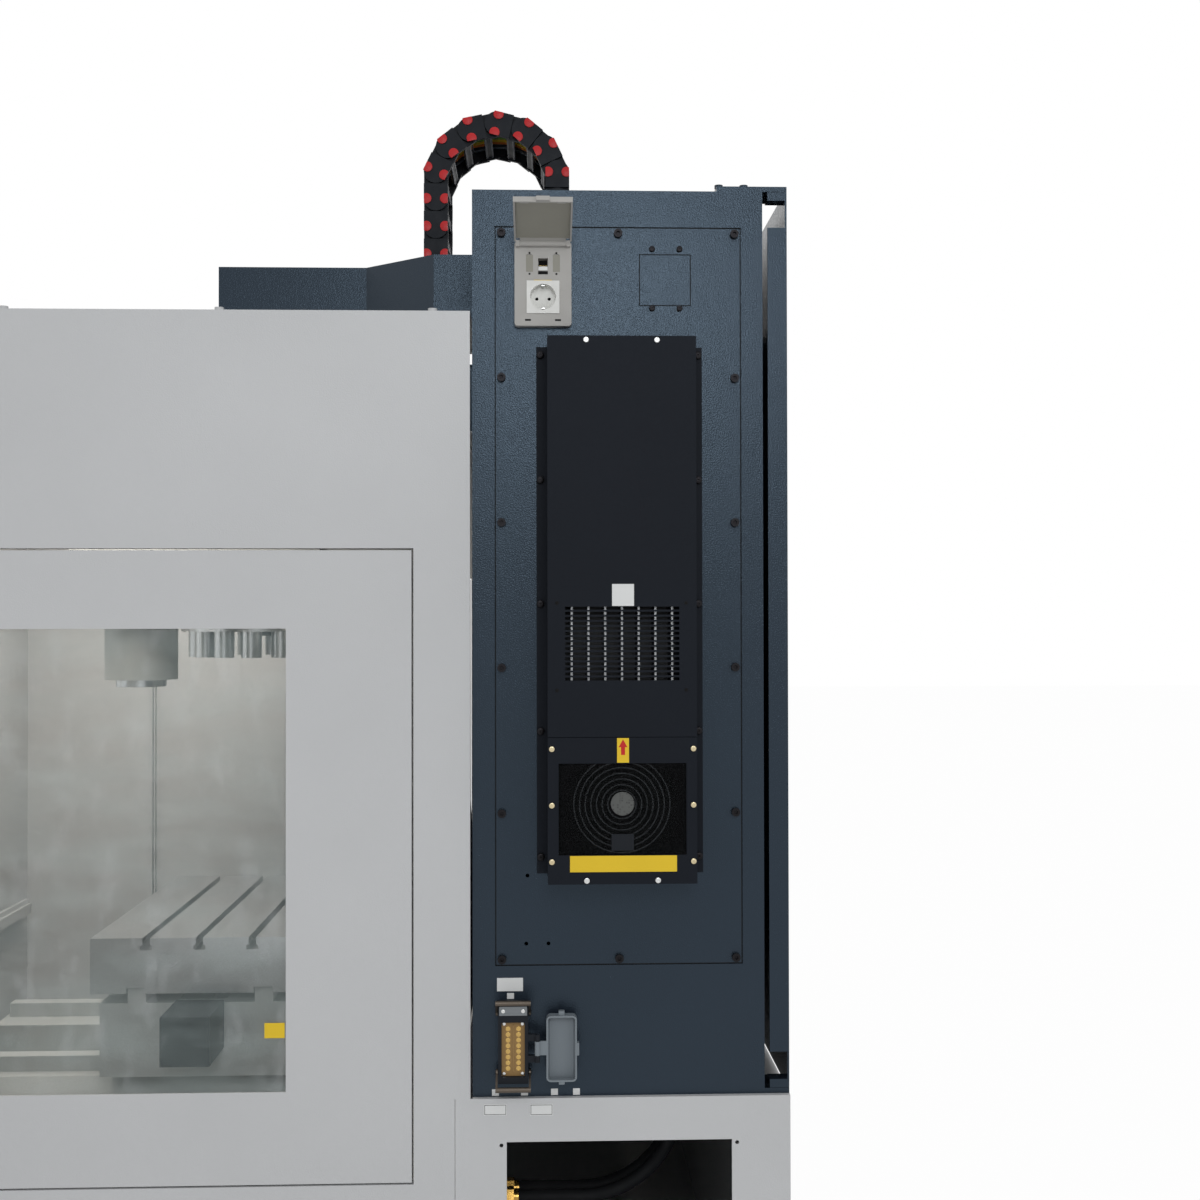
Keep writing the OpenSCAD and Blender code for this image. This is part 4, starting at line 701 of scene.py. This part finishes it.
class MACHINE_OT_interface(bpy.types.Operator):
    """Add the contacts, clips, slots, knock-outs and lid lining of the service interface"""

    bl_idname = "machine.interface"
    bl_label = "Service Interface"

    def execute(self, context):
        front = INTERFACE_FACE
        socket_y, socket_z = 109, 2022
        strip = plate("interface_strip", front, (95.3, 122.8), (2044.9, 2048.2), *LABEL)
        fitted(strip, "yellow_plate", "root")
        # Dark plates as painted shade where the lid's slots open into the interface.
        slots = [plate(f"lid_slot_{i}", front, (y - 4.5, y + 4.5), (1985.4, 1988.2), 0.3, 0.1)
                 for i, y in enumerate((86, 131.8))]
        fitted(joined("lid_slots", slots), "dark_hole", "root")
        pins = []
        for i in range(8):
            y = 103.6 + 1.5 * i
            pins.append(box(f"port_pin_{i}", at(942, y, 2070.0), at(952, y + 0.6, 2070.6), 0.0001))
        fitted(joined("port_pins", pins), "gilt", "root")
        well = box("port_well", at(941.2, 102.6, 2069.6), at(941.8, 115.4, 2080.4), 0.0002)
        fitted(well, "dark_hole", "root")
        lip = plate("port_lip", front, (102, 116), (2062.6, 2068.6), 1.6, 0.5)
        fitted(lip, "white_plate", "root")
        label = plate("port_label", front, (101.6, 116.4), (2056.8, 2061.6), *LABEL)
        sink_top(label, OUT, 0.0012, 0.0002)
        fitted(label, "dark_hole", "root")
        liner = lid_dress("lid_panel", (0.7, -40.5, -118.5), (1.4, 40.5, -14.5), 0.002)
        fitted(liner, "lid_liner", "lid")
        tab = lid_dress("lid_tab", (-4, -10, -127), (3.2, 10, -121), 0)
        fitted(tab, "beige_plastic", "lid")
        catches = [lid_dress(f"lid_catch_{i}", (-3.4, y - 6, -119.4), (0.6, y + 6, -116.5), 0)
                   for i, y in enumerate((-27, 27))]
        fitted(joined("lid_catches", catches), "beige_plastic", "lid")
        for i, y in enumerate((88.5, 129.5)):
            rim = plate(f"knock_rim_{i}", front, (y - 5.4, y + 5.4), (2060.5, 2086.5), 0.18, 0.06)
            sink_top(rim, OUT, 0.0009, 0.0001)
            fitted(rim, "lid_liner", "root")
            dots = heads(f"knock_dots_{i}", front, [(y, 2057.4), (y, 2089.4)], 1.5, 0.6)
            fitted(dots, "dark_hole", "root")
        clips = []
        for i, side in enumerate((-1, 1)):
            low = at(940.5, socket_y - 2.5, socket_z + side * 16.6)
            high = at(955.2, socket_y + 2.5, socket_z + side * 18.4)
            clips.append(box(f"earth_clip_{i}", low, high, 0.0004))
        fitted(joined("earth_clips", clips), "zinc", "root")
        # Dark sunk discs as painted shade in the socket's pin holes.
        eyes = []
        for i, side in enumerate((-1, 1)):
            place = at(937.6, socket_y + side * 9.5, socket_z)
            eye = disc(f"contact_{i}", place, OUT, 0.0022, 0.0006, 0.0002, 16)
            eyes.append(sink_top(eye, OUT, 0.0008, 0.0003))
        fitted(joined("socket_contacts", eyes), "dark_hole", "root")
        return {"FINISHED"}


class MACHINE_OT_connector(bpy.types.Operator):
    """Add the flange, contacts, screws and cap tabs of the heavy connector"""

    bl_idname = "machine.connector"
    bl_label = "Heavy Connector"

    def execute(self, context):
        flange = plate("connector_flange", CONNECTOR_FACE, (41.5, 83.5), (932.6, 946.5), 1.2, 0.4)
        sink_top(flange, OUT, 0.003, 0.0004)
        fitted(flange, "dull_zinc", "root")
        screws = heads("connector_screws", CONNECTOR_FACE + 0.8, [(47.5, 939.5), (77.5, 939.5)], 3.0, 1.4)
        fitted(screws, "zinc", "root")
        middle_y, middle_z = 62.5, 881
        half_row, pitch = 8, 8.5
        spots = [(middle_y + side * half_row, middle_z + (i - 3.5) * pitch)
                 for side in (-1, 1) for i in range(8)]
        places = [at(CONTACT_FOOT, *spot) for spot in spots]
        contact = disc("contact", places[0], OUT, 0.0017, 0.009, 0.0005, 20)
        sink_top(contact, OUT, 0.0006, 0.0008)
        fitted(smooth(repeated("connector_contacts", contact, places)), "gilt", "root")
        rims = [at(INSERT_FACE, *spot) for spot in spots]
        rim = disc("contact_rim", rims[0], OUT, 0.0037, 0.0007, 0.0002, 24)
        sink_top(rim, OUT, 0.0011, 0.0006)
        fitted(smooth(repeated("contact_rims", rim, rims)), "gilt", "root")
        spine = box("insert_spine", at(967.9, 61, 846), at(969.2, 64, 916), 0.0004)
        fitted(spine, "tan_plastic", "root")
        corners = [(48.5, 843.5), (76.5, 843.5), (48.5, 918.5), (76.5, 918.5)]
        fitted(heads("insert_screws", INSERT_FACE, corners, 2.6, 1.5), "zinc", "root")
        tabs = [box("cap_tab_top", at(962, 131, 930.5), at(972.5, 140, 937.5), 0.001),
                box("cap_tab_side", at(962, 158, 871), at(975, 162, 890), 0.001),
                box("cap_tab_low", at(962, 131, 827.5), at(975, 140, 832.5), 0.001)]
        fitted(joined("cap_tabs", tabs), "grey_plastic", "cap")
        lining = box("cap_liner", at(960.2, 117, 836.5), at(961.0, 154, 926.5), 0.0003)
        sink_top(lining, OUT, 0.004, 0.0003)
        fitted(lining, "cap_liner", "cap")
        return {"FINISHED"}


# Width of the dark lines of painted shade in gaps and grooves, in millimetres
GAP_SHADE_WIDTH = 1.3


def seam(name, x, y, z):
    """Painted shade: a thin dark line just inside the edges of a field that looks to +X, in millimetres,
    in place of the shade in the gap or groove there.
    """
    strips = [(y, (z[0], z[0] + GAP_SHADE_WIDTH)), (y, (z[1] - GAP_SHADE_WIDTH, z[1])),
              ((y[0], y[0] + GAP_SHADE_WIDTH), z), ((y[1] - GAP_SHADE_WIDTH, y[1]), z)]
    lines = [plate(f"{name}_{i}", x, wide, high, 0.15, 0.04) for i, (wide, high) in enumerate(strips)]
    return fitted(joined(name, lines), "dark_hole", "root")


def framed_plate(name, x, y, z):
    """A bare white plate with a thin dark line inside its edge."""
    fitted(plate(name, x, y, z, *LABEL), "white_plate", "root")
    low, high = at(x + 0.3, y[0] + 1.2, z[0] + 1.2), at(x + 0.7, y[1] - 1.2, z[1] - 1.2)
    line = sink_top(box(f"{name}_line", low, high), OUT, 0.0007, 0.0004)
    fitted(line, "dark_hole", "root")
    inner_y, inner_z = (y[0] + 1.8, y[1] - 1.8), (z[0] + 1.8, z[1] - 1.8)
    field = plate(f"{name}_field", x, inner_y, inner_z, 0.72, 0.1)
    fitted(field, "white_plate", "root")


class MACHINE_OT_plates(bpy.types.Operator):
    """Add the bare plates, the painted shade lines in the seams and the spare screws of the cabinet and
    base
    """

    bl_idname = "machine.plates"
    bl_label = "Plates and Screws"

    def execute(self, context):
        marks = [("cabinet_plate", (37.2, 76.9), (960.7, 981)),
                 ("cabinet_tag", (52.5, 63.1), (948.9, 957.9))]
        for name, y, z in marks:
            fitted(plate(name, CABINET_FACE, y, z, *LABEL), "white_plate", "root")
        framed_plate("skirt_plate_front", SKIRT_FACE, (17.2, 52.2), (775, 792))
        framed_plate("skirt_plate_rear", SKIRT_FACE, (87.4, 122.5), (774, 791.4))
        for i, y in enumerate((29.4, 73.7, 119.5, 153.1)):
            tag = plate(f"floor_tag_{i}", CABINET_FACE, (y, y + 10.6), (801.5, 811.5), *LABEL)
            fitted(tag, "white_plate", "root")
        face = (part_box("cabinet_cover")[1][0] - ORIGIN.x) * 1000
        # Dark lines of painted shade in the gap round the cover and in the groove round the knock-out
        seam("cover_gap_shade", face, (35, 414), (1000, 2133))
        seam("knockout_gap_shade", face, (257, 337), (2012, 2092))
        spare = [(277, 2100), (319.5, 2100), (277, 2008.5), (319.5, 2008.5)]
        screws = heads("knockout_screws", CABINET_FACE, spare, 4.6, 3.4, 0.5)
        fitted(screws, "black_oxide", "root")
        return {"FINISHED"}


def crease(obj, depth):
    """Pushes a sheet in and out with the folds of loose film."""
    texture = bpy.data.textures.new("film_folds", "CLOUDS")
    texture.noise_scale = 0.11
    texture.noise_depth = 3
    texture.noise_type = "HARD_NOISE"
    folds = obj.modifiers.new("folds", "DISPLACE")
    folds.texture = texture
    folds.texture_coords = "LOCAL"
    folds.direction = "X"
    folds.mid_level = 0.5
    folds.strength = depth
    pick(obj)
    bpy.ops.object.modifier_apply(modifier="folds")


# The window's film: its middle in Y and Z, its height and length in metres, and its fineness

FILM_MIDDLE = (-522, 1165)
FILM_SIZE = (0.699, 0.477)
FILM_CELLS = (110, 76)


class MACHINE_OT_window(bpy.types.Operator):
    """Add the creased film and the bare sticker of the side window"""

    bl_idname = "machine.window"
    bl_label = "Side Window"

    def execute(self, context):
        deselect()
        bpy.ops.mesh.primitive_grid_add(
            x_subdivisions=FILM_CELLS[0], y_subdivisions=FILM_CELLS[1], size=1.0,
            location=at(FILM_FACE, *FILM_MIDDLE), rotation=(0, math.pi / 2, 0))
        sheet = named("window_film")
        sheet.scale = (*FILM_SIZE, 1.0)
        settle(sheet)
        crease(sheet, 0.0018)
        fitted(smooth(sheet, 60), "window_film", "right_door")
        sticker = plate("window_sticker", STICKER_FACE, (-314, -283.5), (896, 919), *LABEL)
        fitted(sticker, "yellow_plate", "right_door")
        return {"FINISHED"}


# The drag chain's middle plane, pitch and side face, in millimetres

CHAIN_X, CHAIN_PITCH, CHAIN_FACE = 339.0, 52.0, 78.0

# Its first pivot in Y and Z, and the turn of a link in the bend in degrees

CHAIN_START = (136.0, 2214.0)
LINK_TURN = 180 / 7

# How far caps and bars stand off a link's middle, and a cable's room at a body's ends and at other pivots

LINK_EDGE = 17.5
CABLE_GAP, CABLE_EASE = 2.2, 12.0

# The first and last link of each body

CHAIN_BODIES = {
    "link_a": (1, 1), "link_b": (2, 2), "bend": (3, 7),
    "link_c": (8, 8), "link_d": (9, 9), "leg": (10, 18),
}


def link_heading(i):
    """The turn of a link about X: up at first, then round the bend and down."""
    return math.radians(90 + LINK_TURN * max(0, min(i, 10) - 3))


def link_start(i):
    """The Y and Z place of a link's first pivot."""
    place = Vector(CHAIN_START)
    for k in range(1, i):
        place += CHAIN_PITCH * Vector((math.cos(link_heading(k)), math.sin(link_heading(k))))
    return place


def link_matrix(i):
    """The placing of a link in the frame, from its pivot and its turn."""
    return Matrix.Translation(at(CHAIN_X, *link_start(i))) @ Matrix.Rotation(link_heading(i), 4, "X")


def chain_copies(name, obj, links):
    """A copy of a piece that is drawn in one link's own place, in each of several links."""
    twins = []
    for i in range(links[0], links[1] + 1):
        twin = copied(obj, (0, 0, 0), f"{name}_{i}")
        twin.data.transform(link_matrix(i))
        twins.append(twin)
    return joined(name, twins)


def drop(obj):
    """Deletes an object."""
    pick(obj)
    bpy.ops.object.delete()


def trim(obj, place, direction):
    """Cuts away what lies beyond a plane and closes the cut."""
    pick(obj)
    bpy.ops.object.mode_set(mode="EDIT")
    bpy.ops.mesh.select_all(action="SELECT")
    bpy.ops.mesh.bisect(plane_co=place, plane_no=direction, use_fill=True, clear_outer=True)
    leave_edit()


def link_dots():
    """The red caps on both sides of one link."""
    dots = []
    for side in (-1, 1):
        for v in (-LINK_EDGE, LINK_EDGE):
            place = Vector((side * CHAIN_FACE, CHAIN_PITCH, v)) / 1000
            dot = disc("dot", place, OUT * side, 0.0095, 0.0022, 0.0005, 40)
            trim(dot, Vector((0, 0, math.copysign(0.0222, v))), (0, 0, v))
            dots.append(smooth(dot, 40))
    return joined("link_dots", dots)


def link_bars():
    """The two clip-on cross bars of one link, with a shallow recess in each."""
    bars = []
    for side in (-1, 1):
        low = Vector((-63.2, 13.9, side * LINK_EDGE - 3.0)) / 1000
        high = Vector((63.2, 29.1, side * LINK_EDGE + 3.0)) / 1000
        bar = box("bar", low, high, 0.0012)
        bars.append(sink_top(bar, (0, 0, side), 0.0028, 0.0008))
    return joined("link_bars", bars)


def cable_points(x, v, links):
    """The middle line of a cable through a run of links, with a gap at each end."""
    points = []
    for i in range(links[0], links[1] + 1):
        matrix = link_matrix(i)
        first = CABLE_GAP if i == links[0] else CABLE_EASE
        last = CHAIN_PITCH - (CABLE_GAP if i == links[1] else CABLE_EASE)
        points += [matrix @ (Vector((x, a, v)) / 1000) for a in (first, (first + last) / 2, last)]
    return points


# Each cable's place across the chain and above its middle, its radius and its colour

CHAIN_CABLES = (
    (-58, -2, 6.0, "cable_grey"), (-45, -2, 6.4, "cable_black"), (-30, -3, 6.6, "cable_orange"),
    (-15.5, -3, 6.8, "cable_yellow"), (-1.5, -3, 6.2, "cable_green"), (14, -2, 6.2, "cable_black"),
    (30, -1, 6.5, "cable_grey"), (47, -1, 6.5, "cable_black"),
)


class MACHINE_OT_chain(bpy.types.Operator):
    """Add the red caps, cross bars and cables of the drag chain"""

    bl_idname = "machine.chain"
    bl_label = "Drag Chain"

    def execute(self, context):
        dots, bars = link_dots(), link_bars()
        for body, links in CHAIN_BODIES.items():
            fitted(chain_copies(f"{body}_dots", dots, links), "red_plastic", body)
            fitted(chain_copies(f"{body}_bars", bars, links), "bar_grey", body)
            for k, (x, v, radius, colour) in enumerate(CHAIN_CABLES):
                cable = swept(f"{body}_cable_{k}", cable_points(x, v, links), radius / 1000, 3)
                fitted(smooth(cable, 50), colour, body)
        drop(dots)
        drop(bars)
        return {"FINISHED"}


# The operator's panel: its face, the first key's front, corner and side, and the step to the next keys

PANEL_FACE, KEY_FRONT = -1375.0, -1379.0
KEY_CORNER, KEY_SIDE = (545, 1262), 18
KEY_STEP = (24.2, 26)


class MACHINE_OT_front(bpy.types.Operator):
    """Add the screen and the keys of the operator's panel"""

    bl_idname = "machine.front"
    bl_label = "Operator Panel"

    def execute(self, context):
        forward = Vector((0, -1, 0))
        screen = box("panel_screen", at(537, -1377.2, 1482), at(813, PANEL_FACE, 1688), 0.0006)
        sink_top(screen, forward, 0.008, 0.0006)
        fitted(screen, "screen_glass", "panel")
        x, z = KEY_CORNER
        key = box("key", at(x, KEY_FRONT, z), at(x + KEY_SIDE, PANEL_FACE, z + KEY_SIDE), 0.001)
        sink_top(key, forward, 0.003, 0.0005)
        places = [at(x + KEY_STEP[0] * i, KEY_FRONT, z + KEY_STEP[1] * j)
                  for j in range(7) for i in range(11)]
        fitted(repeated("panel_keys", key, places), "key_grey", "panel")
        return {"FINISHED"}


# Stage

COOL_LIGHT = (0.94, 0.97, 1.0)
WARM_LIGHT = (1.0, 0.93, 0.84)


def aimed_light(name, place, target, size, power, colour=(1, 1, 1)):
    """A rectangular light at a place, turned to a target."""
    bpy.ops.object.light_add(type="AREA", location=place)
    light = named(name)
    light.data.shape = "RECTANGLE"
    light.data.size, light.data.size_y = size
    light.data.energy = power
    light.data.color = colour
    light.rotation_euler = turned_to(Vector(place) - Vector(target))
    return light


def seen(nodes, links):
    """1 for rays of the camera, of gloss and of glass, and 0 for the light on the object."""
    ray = nodes.new("ShaderNodeLightPath")
    value = ray.outputs["Is Camera Ray"]
    for key in ("Is Glossy Ray", "Is Transmission Ray"):
        larger = nodes.new("ShaderNodeMath")
        larger.operation = "MAXIMUM"
        links.new(value, larger.inputs[0])
        links.new(ray.outputs[key], larger.inputs[1])
        value = larger.outputs[0]
    return value


def pale_floor(width):
    """The floor: pale, and near white to the camera with the shadow kept."""
    deselect()
    bpy.ops.mesh.primitive_plane_add(size=width, location=(0, 0, -0.001))
    floor = named("floor")
    settle(floor)
    made = Shader("floor_pale")
    made.feed("Base Color", made.mix(made.noise(0.8, 3.0), linear(236, 237, 238), linear(242, 242, 243)))
    made.set(Roughness=0.9)
    glow = made.nodes.new("ShaderNodeEmission")
    glow.inputs["Strength"].default_value = 1.0
    share = made.spread(seen(made.nodes, made.links), 0.0, 0.97, 0.0, 1.0)
    blend = made.nodes.new("ShaderNodeMixShader")
    made.links.new(share, blend.inputs[0])
    made.links.new(made.surface.outputs[0], blend.inputs[1])
    made.links.new(glow.outputs[0], blend.inputs[2])
    made.links.new(blend.outputs[0], made.nodes["Material Output"].inputs["Surface"])
    floor.data.materials.append(made.material)


def white_sky(strength):
    """Even light from all round that the camera sees as white."""
    scene = bpy.context.scene
    scene.world = bpy.data.worlds.new("studio")
    scene.world.use_nodes = True
    nodes, links = scene.world.node_tree.nodes, scene.world.node_tree.links
    back = nodes["Background"]
    back.inputs["Color"].default_value = (1, 1, 1, 1)
    level = nodes.new("ShaderNodeMapRange")
    level.inputs["To Min"].default_value = strength
    level.inputs["To Max"].default_value = 1.0
    links.new(seen(nodes, links), level.inputs["Value"])
    links.new(level.outputs["Result"], back.inputs["Strength"])


class MACHINE_OT_stage(bpy.types.Operator):
    """Set the floor, the lights and the camera"""

    bl_idname = "machine.stage"
    bl_label = "Stage"

    def execute(self, context):
        stage = context.scene.machine_stage
        pale_floor(stage.floor_width)
        white_sky(stage.sky)
        middle = (0.7, 0.2, 1.3)
        aimed_light("key_light", (4.3, 0.74, 2.77), middle, (1.0, 1.2), stage.key_power, COOL_LIGHT)
        aimed_light("fill_light", (3.2, 3.4, 2.1), middle, (2.0, 2.4), stage.fill_power)
        aimed_light("top_light", (0.4, 0.0, 5.2), (0.2, 0, 1.5), (4.0, 4.0), stage.top_power)
        lamp, below = at(0, -800, 1930), at(0, -800, 900)
        aimed_light("work_lamp", lamp, below, (1.1, 0.5), stage.lamp_power, WARM_LIGHT)
        bpy.ops.object.camera_add(location=stage.camera_place, rotation=stage.camera_turn)
        camera = named("camera")
        camera.data.sensor_width = 36.0
        camera.data.lens = stage.lens
        camera.data.clip_end = 200.0
        context.scene.camera = camera
        context.scene.view_settings.view_transform = "Standard"
        return {"FINISHED"}


# Panel and registration

STEPS = (MACHINE_OT_finishes, MACHINE_OT_exchanger, MACHINE_OT_interface, MACHINE_OT_connector,
         MACHINE_OT_plates, MACHINE_OT_window, MACHINE_OT_chain, MACHINE_OT_front, MACHINE_OT_stage)


class MACHINE_PT_looks(bpy.types.Panel):
    """The looks of the machine, piece by piece"""

    bl_idname = "MACHINE_PT_looks"
    bl_label = "Machining Center"
    bl_space_type = "VIEW_3D"
    bl_region_type = "UI"
    bl_category = "Machine"

    def draw(self, context):
        for step in STEPS:
            self.layout.operator(step.bl_idname)
        for settings in (context.scene.machine_finish, context.scene.machine_stage):
            for key in settings.__annotations__:
                self.layout.prop(settings, key)


CLASSES = (FinishSettings, StageSettings) + STEPS + (MACHINE_PT_looks,)


def register():
    for cls in CLASSES:
        bpy.utils.register_class(cls)
    bpy.types.Scene.machine_finish = bpy.props.PointerProperty(type=FinishSettings)
    bpy.types.Scene.machine_stage = bpy.props.PointerProperty(type=StageSettings)


def unregister():
    del bpy.types.Scene.machine_stage
    del bpy.types.Scene.machine_finish
    for cls in reversed(CLASSES):
        bpy.utils.unregister_class(cls)


def main():
    register()
    bpy.ops.machine.finishes()
    bpy.ops.machine.exchanger()
    bpy.ops.machine.interface()
    bpy.ops.machine.connector()
    bpy.ops.machine.plates()
    bpy.ops.machine.window()
    bpy.ops.machine.chain()
    bpy.ops.machine.front()
    bpy.ops.machine.stage()


if __name__ == "__main__":
    main()
